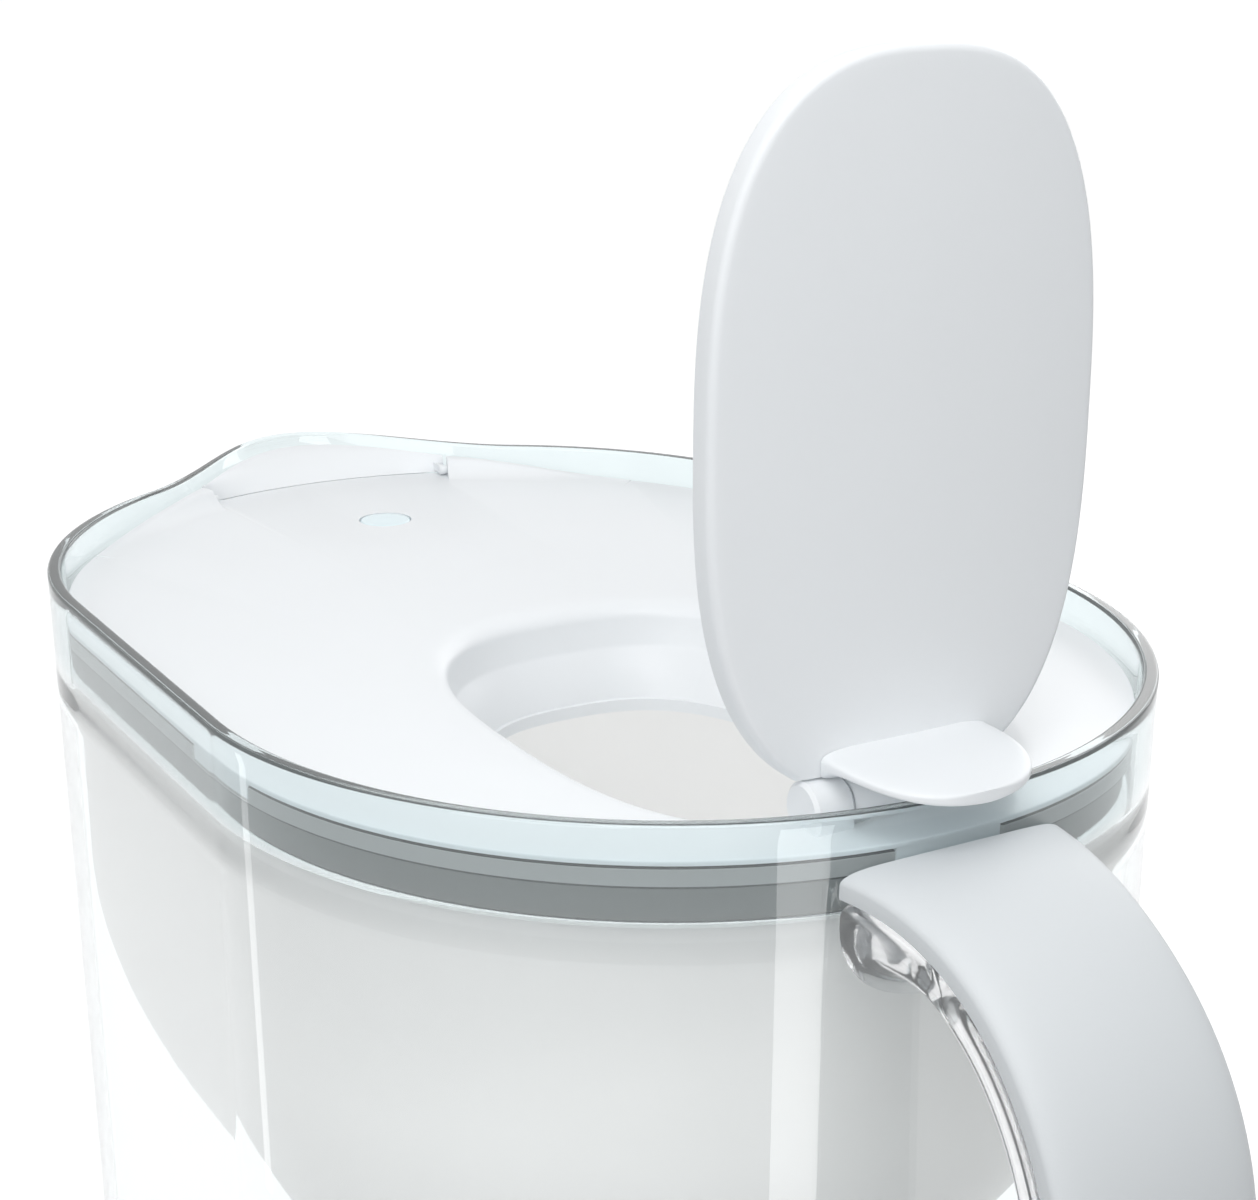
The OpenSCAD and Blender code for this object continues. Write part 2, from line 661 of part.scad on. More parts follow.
// Ring across the flap at a distance y from its middle: its upper face and the
// same points moved along the face's normal
function flap_ring(y) =
    let (x0 = flap_fold_x(y), run = flap_tip_x(y) - x0, thick = flap_thick(y),
         rise = mix(flap_rise, collar_rise, pow(y / flap_half, 2)),
         face = [for (u = flap_steps) [x0 + run * u, plate_z + rise * (1 - pow(1 - u, flap_bend))]],
         slope = [for (u = flap_steps) rise * flap_bend * pow(1 - min(u, 0.9), flap_bend - 1)],
         back = [for (k = [0:4]) face[k] + thick * [-slope[k], run] / norm([slope[k], run])])
    concat([for (p = face) [p[0], y, p[1]]], [for (k = [4:-1:0]) [back[k][0], y, back[k][1]]]);

arm_x = flap_fold_x(flap_half - 0.8) - 0.6;

module spout_flap() {
    color("white") {
        loft([for (k = [0:flap_cols]) flap_ring(mix(flap_half, -flap_half, k / flap_cols))]);
        for (side = [-1, 1]) {
            rod_y(flap_hub_r, flap_x, flap_z, side > 0 ? flap_half - 2 : -flap_half - 0.1,
                  side > 0 ? flap_half + 0.1 : 2 - flap_half);
            rod_y(flap_pin_r, flap_x, flap_z, side > 0 ? flap_half - 1.3 : -flap_seam - flap_pin_l,
                  side > 0 ? flap_seam + flap_pin_l : 1.3 - flap_half);
            // Web from the hub to the flap
            translate([arm_x, side * (flap_half - 1.3) - 0.5, flap_z - 0.65])
                cube([flap_x - arm_x, 1, 1.45]);
        }
    }
}

// ---- filter change indicator ----------------------------------------------

pod_ceiling = pod_top - pod_wall;
pod_floor = pod_ceiling - pod_h;
cell_z = pod_floor + seat_gap;
clip_t = 0.3;
clip_z = cell_z + cell_t + seat_gap;
board_z = clip_z + clip_t + seat_gap;
board_r = pod_r - 0.3;
switch_h = 2.4;
lens_flange_t = 0.8;

module indicator_button() {
    color([0.75, 0.85, 0.88])
        translate([indicator_x, 0, 0]) {
            translate([0, 0, pod_ceiling - seat_gap - lens_flange_t])
                cylinder(r = lens_r, h = plate_z - pod_ceiling + seat_gap + lens_flange_t);
            translate([0, 0, pod_ceiling - seat_gap - lens_flange_t])
                cylinder(r = lens_r + 1.2, h = lens_flange_t);
            translate([0, 0, board_z + board_t + switch_h + press_travel + seat_gap])
                cylinder(r = 1.4, h = pod_ceiling - lens_flange_t - board_z - board_t - switch_h - press_travel);
        }
}

module indicator_housing() {
    color("gainsboro")
        translate([indicator_x, 0, 0])
            difference() {
                translate([0, 0, pod_floor])
                    cylinder(r = pod_out_r, h = pod_h + pod_wall);
                translate([0, 0, pod_floor - 1])
                    cylinder(r = pod_r, h = board_z + board_t + seat_gap - pod_floor + 1);
                translate([0, 0, pod_floor])
                    cylinder(r = pod_r - 1, h = pod_h);
                translate([0, 0, pod_ceiling - 1])
                    cylinder(r = lens_r + 0.1, h = pod_wall + 2);
            }
}

module housing_seal() {
    color("dimgray")
        translate([indicator_x, 0, pod_floor - 0.6])
            tube(pod_out_r, pod_r + seat_gap, 0.5);
}

module housing_cover() {
    color("gainsboro")
        translate([indicator_x, 0, 0]) {
            translate([0, 0, pod_floor - 0.7 - pod_wall])
                cylinder(r = pod_out_r, h = pod_wall);
            translate([0, 0, pod_floor - 0.7 - pod_wall / 2])
                cylinder(r = pod_r - 0.1, h = 0.7 + pod_wall / 2);
            translate([0, 0, pod_floor - 0.1])
                tube(cell_r + 1.2, cell_r + 0.2, 2.1);
        }
}

module circuit_board() {
    color("seagreen")
        translate([indicator_x, 0, board_z])
            cylinder(r = board_r, h = board_t);
}

switch_w = 5.2;
switch_case_h = 1.7;
plunger_r = 1.6;
led_w = 1.6;
led_h = 0.8;
led_place = 3.2;

module tact_switch() {
    color("darkslategray")
        translate([indicator_x, 0, board_z + board_t]) {
            translate([-switch_w / 2, -switch_w / 2, 0])
                cube([switch_w, switch_w, switch_case_h]);
            cylinder(r = plunger_r, h = switch_h);
        }
}

module indicator_led() {
    color("lightyellow")
        translate([indicator_x + led_place, -led_w / 2, board_z + board_t])
            cube([led_w, led_w, led_h]);
}

module coin_cell() {
    color("silver")
        translate([indicator_x, 0, cell_z]) {
            cylinder(r = cell_r, h = cell_t - 0.5);
            cylinder(r = cell_r - 0.8, h = cell_t);
        }
}

clip_l = 18;
clip_w = 4;
clip_foot = 2;

module cell_clip() {
    color("gold")
        translate([indicator_x, 0, clip_z]) {
            translate([-clip_l / 2, -clip_w / 2, 0])
                cube([clip_l, clip_w, clip_t]);
            for (x = [-clip_l / 2 + 1, clip_l / 2 - 1 - clip_foot])
                translate([x, -clip_w / 2, 0])
                    cube([clip_foot, clip_w, clip_t + seat_gap]);
        }
}

// ---- filter cartridge -----------------------------------------------------

flange_r = cart_bore_r + cart_flange;
flange_t = 2;
seal_t = 1.2;
flange_z = seat_z + seal_t + seat_gap;
cart_z = seat_z - cart_h;
media_top = flange_z - 6;
foot_slot_w = 2;

module seat_seal() {
    color("lightsteelblue")
        translate([0, 0, seat_z + seat_gap / 2])
            tube(flange_r - 0.6, cart_bore_r + 0.8, seal_t);
}

module cartridge_shell() {
    color("white")
        difference() {
            union() {
                translate([0, 0, cart_z])
                    cylinder(r1 = cart_foot_r, r2 = cart_r, h = flange_z - cart_z);
                translate([0, 0, flange_z])
                    cylinder(r = flange_r, h = flange_t);
            }
            translate([0, 0, cart_z + cart_wall])
                cylinder(r1 = cart_foot_r - cart_wall, r2 = cart_r - cart_wall, h = flange_z - cart_z + flange_t);
            for (k = [0:cart_slots - 1])
                rotate([0, 0, 360 * k / cart_slots])
                    translate([cart_foot_r * 0.35, -foot_slot_w / 2, cart_z - 1])
                        cube([cart_foot_r * 0.45, foot_slot_w, cart_wall + 2]);
        }
}

cap_r = cart_r - 0.5;
cap_z = flange_z + flange_t + seat_gap;

// Half section of the cap's dome, a share s of the way up
function dome_pt(r, h, a) = [r * cos(a), h * sin(a)];

cap_t = 1.6;
window_w = 2.4;
cap_section = concat(
    [[flange_r - 1, 0], [flange_r - 1, cap_t], [cap_r, cap_t]],
    [for (a = [10:16:90]) dome_pt(cap_r, cap_h, a)],
    [[0, cap_h], [0, cap_h - cap_t]],
    [for (a = [90:-16:10]) dome_pt(cap_r - cap_t, cap_h - cap_t, a)],
    [[cap_r - cap_t, 0]]);
ring_r = 8;
ring_t = 1.5;

module cartridge_cap() {
    color("white")
        translate([0, 0, cap_z])
            difference() {
                union() {
                    rotate_extrude()
                        polygon(cap_section);
                    // Pad that the pull ring stands on
                    translate([0, 0, cap_h - 3])
                        cylinder(r = ring_r + 3, h = 3 + seat_gap);
                }
                for (k = [0:cart_slots - 1])
                    rotate([0, 0, 360 * (k + 0.5) / cart_slots])
                        translate([cap_r * 0.55, -window_w / 2, 5])
                            cube([cap_r, window_w, cap_h * 0.45]);
            }
}

module pull_ring() {
    color("white")
        translate([0, 0, cap_z + cap_h + 2 * seat_gap])
            rotate([90, 0, 0])
                intersection() {
                    rotate_extrude()
                        translate([ring_r, 0])
                            circle(r = ring_t);
                    translate([-ring_r - 4, 0, -3])
                        cube([2 * ring_r + 8, ring_r + 4, 6]);
                }
}

module inlet_screen() {
    color("gray")
        translate([0, 0, media_top + 0.2])
            cylinder(r = cart_r - cart_wall - 1.2, h = 0.6);
}

module filter_media() {
    color([0.3, 0.28, 0.25])
        translate([0, 0, cart_z + cart_wall + 0.8])
            cylinder(r1 = cart_foot_r - cart_wall - 0.2, r2 = cart_r - cart_wall - 0.6,
                     h = media_top - cart_z - cart_wall - 0.8);
}

module outlet_screen() {
    color("gray")
        translate([0, 0, cart_z + cart_wall + 0.1])
            cylinder(r = cart_foot_r - cart_wall - 0.3, h = 0.6);
}

jug_body();
handle_core();
handle_grip();
hopper();
lid_cover();
flip_lid();
spout_flap();
indicator_button();
indicator_housing();
housing_cover();
housing_seal();
circuit_board();
tact_switch();
indicator_led();
coin_cell();
cell_clip();
cartridge_shell();
cartridge_cap();
pull_ring();
inlet_screen();
filter_media();
outlet_screen();
seat_seal();
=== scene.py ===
"""Looks of the water filter jug, laid out as a Blender add-on and run as a script."""

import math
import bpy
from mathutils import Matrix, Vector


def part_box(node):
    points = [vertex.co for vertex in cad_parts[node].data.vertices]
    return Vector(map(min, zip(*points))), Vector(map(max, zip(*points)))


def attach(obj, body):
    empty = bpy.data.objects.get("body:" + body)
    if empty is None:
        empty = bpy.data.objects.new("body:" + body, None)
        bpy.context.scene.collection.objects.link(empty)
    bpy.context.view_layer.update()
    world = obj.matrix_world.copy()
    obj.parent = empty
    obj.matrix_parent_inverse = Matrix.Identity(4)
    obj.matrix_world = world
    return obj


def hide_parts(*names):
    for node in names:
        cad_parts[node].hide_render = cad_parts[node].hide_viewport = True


bl_info = {
    "name": "Water filter jug",
    "version": (1, 0, 0),
    "blender": (4, 5, 0),
    "location": "3D View > Sidebar > Jug",
    "description": "Builds the finished surfaces of a clear filter jug round its CAD frame",
    "category": "Object",
}

import bmesh
import bpy
from bpy.props import FloatProperty, FloatVectorProperty, IntProperty, PointerProperty
from mathutils import Vector

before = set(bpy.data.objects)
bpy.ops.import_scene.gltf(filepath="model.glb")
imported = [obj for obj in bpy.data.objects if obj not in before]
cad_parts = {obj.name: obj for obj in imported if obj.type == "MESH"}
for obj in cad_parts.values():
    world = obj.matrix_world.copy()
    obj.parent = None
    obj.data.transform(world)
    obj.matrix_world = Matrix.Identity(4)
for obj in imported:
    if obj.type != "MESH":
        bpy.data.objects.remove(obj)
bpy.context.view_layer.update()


# ---- sizes and colours a user would change --------------------------------


def length(name, default, description):
    return FloatProperty(name=name, description=description, default=default, unit="LENGTH", precision=4)


def place(name, default, description):
    return FloatVectorProperty(name=name, description=description, default=default, subtype="TRANSLATION")


def share(name, default, description):
    return FloatProperty(name=name, description=description, default=default, subtype="FACTOR", min=0, max=1)


def colour(name, default, description):
    return FloatVectorProperty(
        name=name, description=description, default=default, size=4, subtype="COLOR", min=0, max=1
    )


class JugSizes(bpy.types.PropertyGroup):
    """Clear jug with its beak"""

    height: length("Height", 0.258, "Rim above the foot")
    rim_r: length("Rim radius", 0.0727, "Outer radius of the rounded ends at the rim")
    foot_r: length("Foot radius", 0.0697, "Outer radius of the rounded ends at the foot")
    half_span: length("Half span", 0.031, "Middle of the jug to the centre of a rounded end")
    wall: length("Wall", 0.0023, "Thickness of the wall")
    rim_edge: length("Rim edge", 0.0006, "Rounding of the rim's two edges")
    floor: length("Floor", 0.0032, "Thickness of the floor")
    foot_round: length("Foot rounding", 0.009, "Rounding between wall and foot")
    ledge_drop: length("Ledge drop", 0.0142, "Inner ledge below the rim")
    ledge_in: length("Ledge reach", 0.0026, "How far the ledge stands in from the wall")
    ledge_t: length("Ledge thickness", 0.0012, "Height of the ledge's face")
    ledge_run: length("Ledge run", 0.0055, "Height over which the ledge goes back to the wall")
    beak_out: length("Beak reach", 0.018, "Beak past the rounded end")
    beak_w: length("Beak width", 0.076, "Width of the beak at its root")
    beak_h: length("Beak height", 0.034, "Height over which the beak flares")
    beak_rise: length("Beak rise", 0.001, "Tip of the beak above the rim")
    beak_curve: FloatProperty(name="Beak curve", description="Exponent of the flare", default=1.7)


class HandleSizes(bpy.types.PropertyGroup):
    """Loop handle and its soft grip"""

    width: length("Width", 0.029, "Width of the clear core")
    core_t: length("Core thickness", 0.0066, "Thickness of the clear core")
    grip_t: length("Grip thickness", 0.0034, "Thickness of the grip at its edges")
    grip_crown: length("Grip crown", 0.0011, "Extra height along the grip's middle")
    upper_r: length("Upper bend", 0.036, "Radius of the upper bend")
    lower_r: length("Lower bend", 0.025, "Radius of the lower bend")
    upper_drop: length("Upper bend drop", 0.0485, "Upper bend's centre below the rim")
    lower_drop: length("Lower bend drop", 0.142, "Lower bend's centre below the rim")
    stub: length("Stub", 0.002, "Straight piece between wall and bend")
    flare: length("Root flare", 0.010, "How much thicker the core is at the wall")
    flare_run: length("Flare run", 0.020, "Distance from the wall over which the flare dies away")
    root_wide: length("Root widening", 0.005, "How much wider the handle is at the wall")
    wide_run: length("Widening run", 0.026, "Distance from the wall over which the widening dies away")


class HopperSizes(bpy.types.PropertyGroup):
    """Lift-out hopper"""

    drop: length("Drop", 0.0065, "Top of the rim band below the jug's rim")
    band_h: length("Band height", 0.0028, "Height of the rim band")
    band_gap: length("Band gap", 0.0007, "Rim band to jug wall")
    neck_in: length("Neck set-in", 0.001, "Neck behind the rim band")
    bowl_in: length("Bowl set-in", 0.0025, "Bowl behind the rim band")
    wall: length("Wall", 0.002, "Thickness of the wall")
    bowl_drop: length("Bowl drop", 0.05, "Where the bowl starts to curve in")
    seat_drop: length("Seat drop", 0.115, "Floor that carries the cartridge")
    seat_r: length("Seat radius", 0.036, "Flat floor round the cartridge")
    seat_t: length("Seat thickness", 0.0026, "Thickness of that floor")
    collar_h: length("Collar height", 0.012, "Collar under the floor")
    bore_r: length("Bore radius", 0.0265, "Hole for the cartridge")
    channel_in: length("Channel", 0.008, "Depth of the channel in the bowl's beak end")


class LidSizes(bpy.types.PropertyGroup):
    """Lid plate with its filling recess"""

    plate_drop: length("Plate drop", 0.0055, "Top of the plate below the rim")
    plate_t: length("Plate thickness", 0.002, "Thickness of the plate")
    plate_edge: length("Plate edge", 0.0007, "Height of the plate's thin edge")
    plate_gap: length("Plate gap", 0.0007, "Plate to jug wall")
    nose_out: length("Nose", 0.0028, "How far the plate follows the beak")
    rib_h: length("Rib height", 0.004, "Locating rib under the plate")
    rib_t: length("Rib thickness", 0.0018, "Thickness of the locating rib")
    recess_a: length("Recess half length", 0.0523, "At the plate's top")
    recess_b: length("Recess half width", 0.0363, "At the plate's top")
    recess_x: length("Recess middle", 0.043436, "Towards the handle")
    lip_in: length("Lip width", 0.005, "Soft lip before the wall")
    lip_h: length("Lip height", 0.0027, "Height of the soft lip")
    wall_h: length("Recess wall", 0.0042, "Height of the wall below the lip")
    hole_a: length("Hole half length", 0.041, "Filling hole")
    hole_b: length("Hole half width", 0.0255, "Filling hole")
    hole_x: length("Hole middle", 0.042036, "Towards the handle")
    hole_depth: length("Hole depth", 0.015, "Hole's edge below the plate's top")
    tongue_w: length("Tongue width", 0.016, "Tongue over the hopper's rim at the handle")
    tongue_h: length("Tongue height", 0.0024, "Tongue and side tabs")
    tab_w: length("Tab width", 0.018, "Each side tab")
    squareness: FloatProperty(name="Squareness", description="2 is an ellipse", default=2.7)


class FlipSizes(bpy.types.PropertyGroup):
    """Flip lid and its hinge"""

    half_l: length("Half length", 0.0469, "Half length of the lid")
    half_w: length("Half width", 0.0293, "Half width of the lid")
    edge: length("Edge depth", 0.004, "Depth of the rolled edge")
    face_t: length("Face thickness", 0.002, "Thickness of the face")
    crown: length("Crown", 0.0016, "How far the face is crowned")
    hinge_x: length("Hinge", 0.090936, "Hinge line towards the handle")
    hinge_drop: length("Hinge drop", 0.0033, "Hinge line below the rim")
    face_in_front: length("Face in front", 0.0005, "Face in front of the hinge line")
    barrel_r: length("Barrel radius", 0.0033, "Hinge barrel")
    barrel_half: length("Barrel half width", 0.0094, "Hinge barrel")
    pin_r: length("Pin radius", 0.0016, "Hinge pins")
    pin_l: length("Pin length", 0.0056, "Each hinge pin")
    lug_r: length("Lug radius", 0.0037, "Hinge lugs on the plate")
    lug_t: length("Lug thickness", 0.006, "Each hinge lug")
    thumb_reach: length("Thumb reach", 0.0173, "Thumb tab from the hinge line")
    thumb_half: length("Thumb half width", 0.0132, "Thumb tab")
    thumb_t: length("Thumb thickness", 0.0016, "Thumb tab at its tip")


class FlapSizes(bpy.types.PropertyGroup):
    """Spout flap and the collar beside it"""

    half: length("Half width", 0.0255, "Half width of the flap")
    thick: length("Thickness", 0.0016, "Flap in its middle")
    side_t: length("Side thickness", 0.0006, "Flap at its sides")
    gap: length("Fold gap", 0.0003, "Plate's edge to flap")
    rise: length("Rise", 0.0047, "Tip of the flap above the plate")
    collar_rise: length("Collar rise", 0.0034, "Flap's sides and collar above the plate")
    collar_end: length("Collar end", 0.055, "Where the collar has died away")
    collar_t: length("Collar thickness", 0.0016, "Top of the collar")
    pin_r: length("Pin radius", 0.0008, "Flap's pins")
    pin_l: length("Pin length", 0.0015, "Past the seam")


class IndicatorSizes(bpy.types.PropertyGroup):
    """Filter change indicator"""

    x: length("Middle", -0.071036, "Towards the beak")
    lens_r: length("Lens radius", 0.0047, "Round lens of the button")
    housing_r: length("Housing radius", 0.0142, "Case under the plate")


class CartridgeSizes(bpy.types.PropertyGroup):
    """Filter cartridge that hangs in the hopper's floor"""

    seat_z: length("Seat", 0.143, "Hopper's floor above the foot")
    flange_z: length("Flange", 0.1443, "Underside of the flange above the foot")
    flange_r: length("Flange radius", 0.031, "Flange over the hopper's floor")
    top_r: length("Top radius", 0.026, "Radius under the flange")
    foot_r: length("Foot radius", 0.0235, "Radius at the bottom")
    depth: length("Depth", 0.076, "Bottom below the hopper's floor")
    wall: length("Wall", 0.0015, "Thickness of the wall")
    cap_h: length("Cap height", 0.026, "Dome over the flange")
    ring_r: length("Pull ring radius", 0.008, "Ring on the cap")
    slots: IntProperty(name="Slots", description="Round the cap and in the bottom", default=12, min=6, max=20)
    ribs: IntProperty(name="Ribs", description="Grip ribs round the shell", default=48, min=12, max=90)


class Finish(bpy.types.PropertyGroup):
    """Colours"""

    clear: colour("Clear plastic", (0.975, 0.99, 0.992, 1), "Jug")
    clear_depth: colour("Clear plastic in depth", (0.62, 0.76, 0.79, 1), "What a long way through leaves")
    core: colour("Clear core", (0.98, 0.985, 0.99, 1), "Handle core")
    # painted shade: darker aqua-grey colour for the clear plastic above the ledge, standing in for the shade seen
    # through the rim
    rim: colour("Clear rim", (0.80, 0.87, 0.88, 1), "Painted shade seen through the rim")
    lid: colour("Lid", (0.89, 0.915, 0.935, 1), "Lid plate, flip lid and flap")
    grip: colour("Grip", (0.645, 0.675, 0.695, 1), "Soft grip")
    hopper: colour("Hopper", (0.912, 0.904, 0.896, 1), "Milky hopper")
    lens: colour("Lens", (0.74, 0.86, 0.90, 1), "Indicator lens")
    cartridge: colour("Cartridge", (0.82, 0.84, 0.86, 1), "Cartridge mouldings")


class StageSizes(bpy.types.PropertyGroup):
    """Camera, lamps and floor"""

    eye: place("Camera", (0.31289, -0.16919, 0.36572), "Place of the camera")
    aim: place("Aim", (0.01161, 0.00507, 0.258), "What the camera looks at")
    lens: FloatProperty(name="Lens", description="Focal length on a 36 mm sensor", default=65.82, unit="CAMERA")
    floor: length("Floor", 12.0, "Half width of the floor")
    floor_glow: share("Floor glow", 0.75, "White added where the floor is seen")
    sky: share("Sky", 0.45, "Part of the white surroundings that lights the jug")


GROUPS = {
    "jug": JugSizes,
    "handle": HandleSizes,
    "hopper": HopperSizes,
    "lid": LidSizes,
    "flip": FlipSizes,
    "flap": FlapSizes,
    "indicator": IndicatorSizes,
    "cartridge": CartridgeSizes,
    "finish": Finish,
    "stage": StageSizes,
}


class JugLooks(bpy.types.PropertyGroup):
    """All sizes and colours"""


# ---- lines and rings ------------------------------------------------------

AROUND = 240
FLAP_HINGE_IN = 0.0021
FLAP_HINGE_UP = 0.0011


def mix(a, b, t):
    return a + (b - a) * t


def power(v, e):
    return math.copysign(abs(v) ** e, v)


def turns(n):
    return [2 * math.pi * (i + 0.5) / n for i in range(n)]


def arc(start, end, steps):
    return [math.radians(mix(start, end, k / steps)) for k in range(steps + 1)]


def oval(r, half):
    """Points of an oval with round ends"""
    return [(r * math.cos(a) + math.copysign(half, math.cos(a)), r * math.sin(a)) for a in turns(AROUND)]


def flat_ring(points, z):
    return [(x, y, z) for x, y in points]


def squared(cx, a_half, b_half, squareness, n=AROUND):
    """Points of a squared ellipse"""
    e = 2 / squareness
    return [(cx + a_half * power(math.cos(a), e), b_half * power(math.sin(a), e)) for a in turns(n)]


def beak_bump(jug, y):
    return math.cos(math.pi * y / jug.beak_w) ** 2 if abs(y) < jug.beak_w / 2 else 0


def beak_at(jug, z):
    share = min(1, max(0, (z - jug.height + jug.beak_h) / jug.beak_h))
    return jug.beak_out * share**jug.beak_curve


def jug_r(jug, z):
    return mix(jug.foot_r, jug.rim_r, z / jug.height)


def beak_ring(jug, r, z, reach, rise=0):
    """Oval ring at height z, pushed out and up by the beak"""
    ring = []
    for x, y in oval(r, jug.half_span):
        bump = beak_bump(jug, y) if x < 0 else 0
        ring.append((x - reach * bump, y, z + rise * bump))
    return ring


def plate_z(jug, lid):
    return jug.height - lid.plate_drop


def edge_r(jug, lid):
    return jug_r(jug, plate_z(jug, lid)) - jug.wall - lid.plate_gap


def nose(jug, lid, y):
    return min(lid.nose_out, beak_at(jug, plate_z(jug, lid)) * beak_bump(jug, y))


def edge_x(jug, lid, y):
    """Where the plate's edge is at the beak's end"""
    return -jug.half_span - math.sqrt(edge_r(jug, lid) ** 2 - y * y) - nose(jug, lid, y)


def flap_hinge(jug, lid, flap):
    """Place (x, z) of the spout flap's hinge line"""
    return edge_x(jug, lid, flap.half) + FLAP_HINGE_IN, plate_z(jug, lid) + FLAP_HINGE_UP


# ---- meshes ---------------------------------------------------------------


def linked(name, data):
    obj = bpy.data.objects.new(name, data)
    bpy.context.collection.objects.link(obj)
    return obj


def new_mesh(name, verts, faces, sharp=35):
    mesh = bpy.data.meshes.new(name)
    mesh.from_pydata([Vector(v) for v in verts], [], faces)
    mesh.validate()
    return smooth(linked(name, mesh), sharp)


def smooth(obj, sharp=35):
    """Shades the mesh smooth, apart from edges that turn by more than sharp degrees"""
    bm = bmesh.new()
    bm.from_mesh(obj.data)
    for f in bm.faces:
        f.smooth = True
    for e in bm.edges:
        e.smooth = len(e.link_faces) == 2 and e.calc_face_angle(0) < math.radians(sharp)
    bm.to_mesh(obj.data)
    bm.free()
    return obj


def loft(name, rings, closed=False, sharp=35):
    """Solid through a row of rings of equal length"""
    n, m = len(rings[0]), len(rings)
    verts = [p for ring in rings for p in ring]
    faces = []
    for j in range(m if closed else m - 1):
        k = (j + 1) % m
        for i in range(n):
            h = (i + 1) % n
            faces.append((j * n + i, j * n + h, k * n + h, k * n + i))
    if not closed:
        faces.append(tuple(range(n - 1, -1, -1)))
        faces.append(tuple((m - 1) * n + i for i in range(n)))
    return new_mesh(name, verts, faces, sharp)


def rod_y(name, r, x, z, y0, y1, edge=0.0003, n=48):
    """Round bar along Y with softened ends"""
    rings = []
    for inset, y in ((edge, y0), (0, y0 + edge), (0, y1 - edge), (edge, y1)):
        rings.append([(x + (r - inset) * math.sin(a), y, z + (r - inset) * math.cos(a)) for a in turns(n)])
    return loft(name, rings, sharp=50)


def block(name, low, high, edge=0.0003):
    """Box with softened edges"""
    bm = bmesh.new()
    bmesh.ops.create_cube(bm, size=1)
    for v in bm.verts:
        v.co = Vector([mix(a, b, c + 0.5) for a, b, c in zip(low, high, v.co)])
    if edge:
        bmesh.ops.bevel(bm, geom=bm.edges[:], offset=edge, segments=2, profile=0.7, affect="EDGES")
    mesh = bpy.data.meshes.new(name)
    bm.to_mesh(mesh)
    bm.free()
    return smooth(linked(name, mesh))


def lathe(name, profile, closed=True, x=0.0, n=96, sharp=40):
    """Solid turned round an upright axis from points (radius, height)"""
    rings = [[(x + max(r, 1e-5) * math.cos(a), max(r, 1e-5) * math.sin(a), z) for a in turns(n)] for r, z in profile]
    return loft(name, rings, closed, sharp)


def baked(obj):
    """Keeps what the modifiers of obj make as its plain mesh"""
    dg = bpy.context.evaluated_depsgraph_get()
    mesh = bpy.data.meshes.new_from_object(obj.evaluated_get(dg))
    obj.modifiers.clear()
    obj.data = mesh
    return obj


# ---- nodes ----------------------------------------------------------------


def feed(tree, socket, value):
    """Links an output to a socket, or sets the socket's own value"""
    if hasattr(value, "is_linked"):
        tree.links.new(value, socket)
    elif value is not None:
        socket.default_value = value


def add(tree, kind, inputs=None, **settings):
    """New node, set up before its inputs are fed"""
    node = tree.nodes.new(kind)
    for key, value in settings.items():
        setattr(node, key, value)
    for key, value in (inputs or {}).items():
        feed(tree, node.inputs[key], value)
    return node


def maths(tree, how, *values):
    return add(tree, "ShaderNodeMath", dict(enumerate(values)), operation=how).outputs[0]


def open_group(name, kind, inputs, outputs):
    """Empty node group with named sockets, and its in and out nodes"""
    tree = bpy.data.node_groups.new(name, kind)
    for label, sort, value in inputs:
        socket = tree.interface.new_socket(label, in_out="INPUT", socket_type="NodeSocket" + sort)
        if value is not None:
            socket.default_value = value
    for label, sort in outputs:
        tree.interface.new_socket(label, in_out="OUTPUT", socket_type="NodeSocket" + sort)
    return tree, tree.nodes.new("NodeGroupInput"), tree.nodes.new("NodeGroupOutput")


def ring_group():
    """Geometry Nodes: copies of a piece set evenly round the upright axis"""
    tree, start, end = open_group(
        "Round the middle",
        "GeometryNodeTree",
        [("Geometry", "Geometry", None), ("Count", "Int", 12), ("Turn", "Float", 0.0), ("Material", "Material", None)],
        [("Geometry", "Geometry")],
    )
    given = start.outputs
    points = add(tree, "GeometryNodePoints", {"Count": given["Count"]}).outputs[0]
    index = add(tree, "GeometryNodeInputIndex").outputs[0]
    share = maths(tree, "DIVIDE", maths(tree, "ADD", index, given["Turn"]), given["Count"])
    facing = add(tree, "ShaderNodeCombineXYZ", {"Z": maths(tree, "MULTIPLY", share, 2 * math.pi)}).outputs[0]
    places = {"Points": points, "Instance": given["Geometry"], "Rotation": facing}
    copies = add(tree, "GeometryNodeInstanceOnPoints", places).outputs[0]
    real = add(tree, "GeometryNodeRealizeInstances", {0: copies}).outputs[0]
    paint = add(tree, "GeometryNodeSetMaterial", {"Geometry": real, "Material": given["Material"]})
    feed(tree, end.inputs[0], paint.outputs[0])


def repeat(obj, count, turn, finish):
    """Sets count copies of obj round the upright axis"""
    mod = obj.modifiers.new("repeat", "NODES")
    mod.node_group = bpy.data.node_groups["Round the middle"]
    values = {"Count": count, "Turn": turn, "Material": finish}
    for item in mod.node_group.interface.items_tree:
        if item.item_type == "SOCKET" and item.in_out == "INPUT" and item.name in values:
            mod[item.identifier] = values[item.name]
    return baked(obj)


def combine(obj, tool, how, sharp=35):
    """Joins tool to obj, or cuts it from obj, and removes tool"""
    mod = obj.modifiers.new("combine", "BOOLEAN")
    mod.operation, mod.object, mod.solver = how, tool, "EXACT"
    baked(obj)
    bpy.data.objects.remove(tool, do_unlink=True)
    return smooth(obj, sharp)


def dress(obj, material, body, nodes=()):
    """Gives obj its material, lets it ride on its body and stand for its CAD nodes"""
    obj.data.materials.clear()
    obj.data.materials.append(material)
    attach(obj, body)
    if nodes:
        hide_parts(*nodes)
    return obj


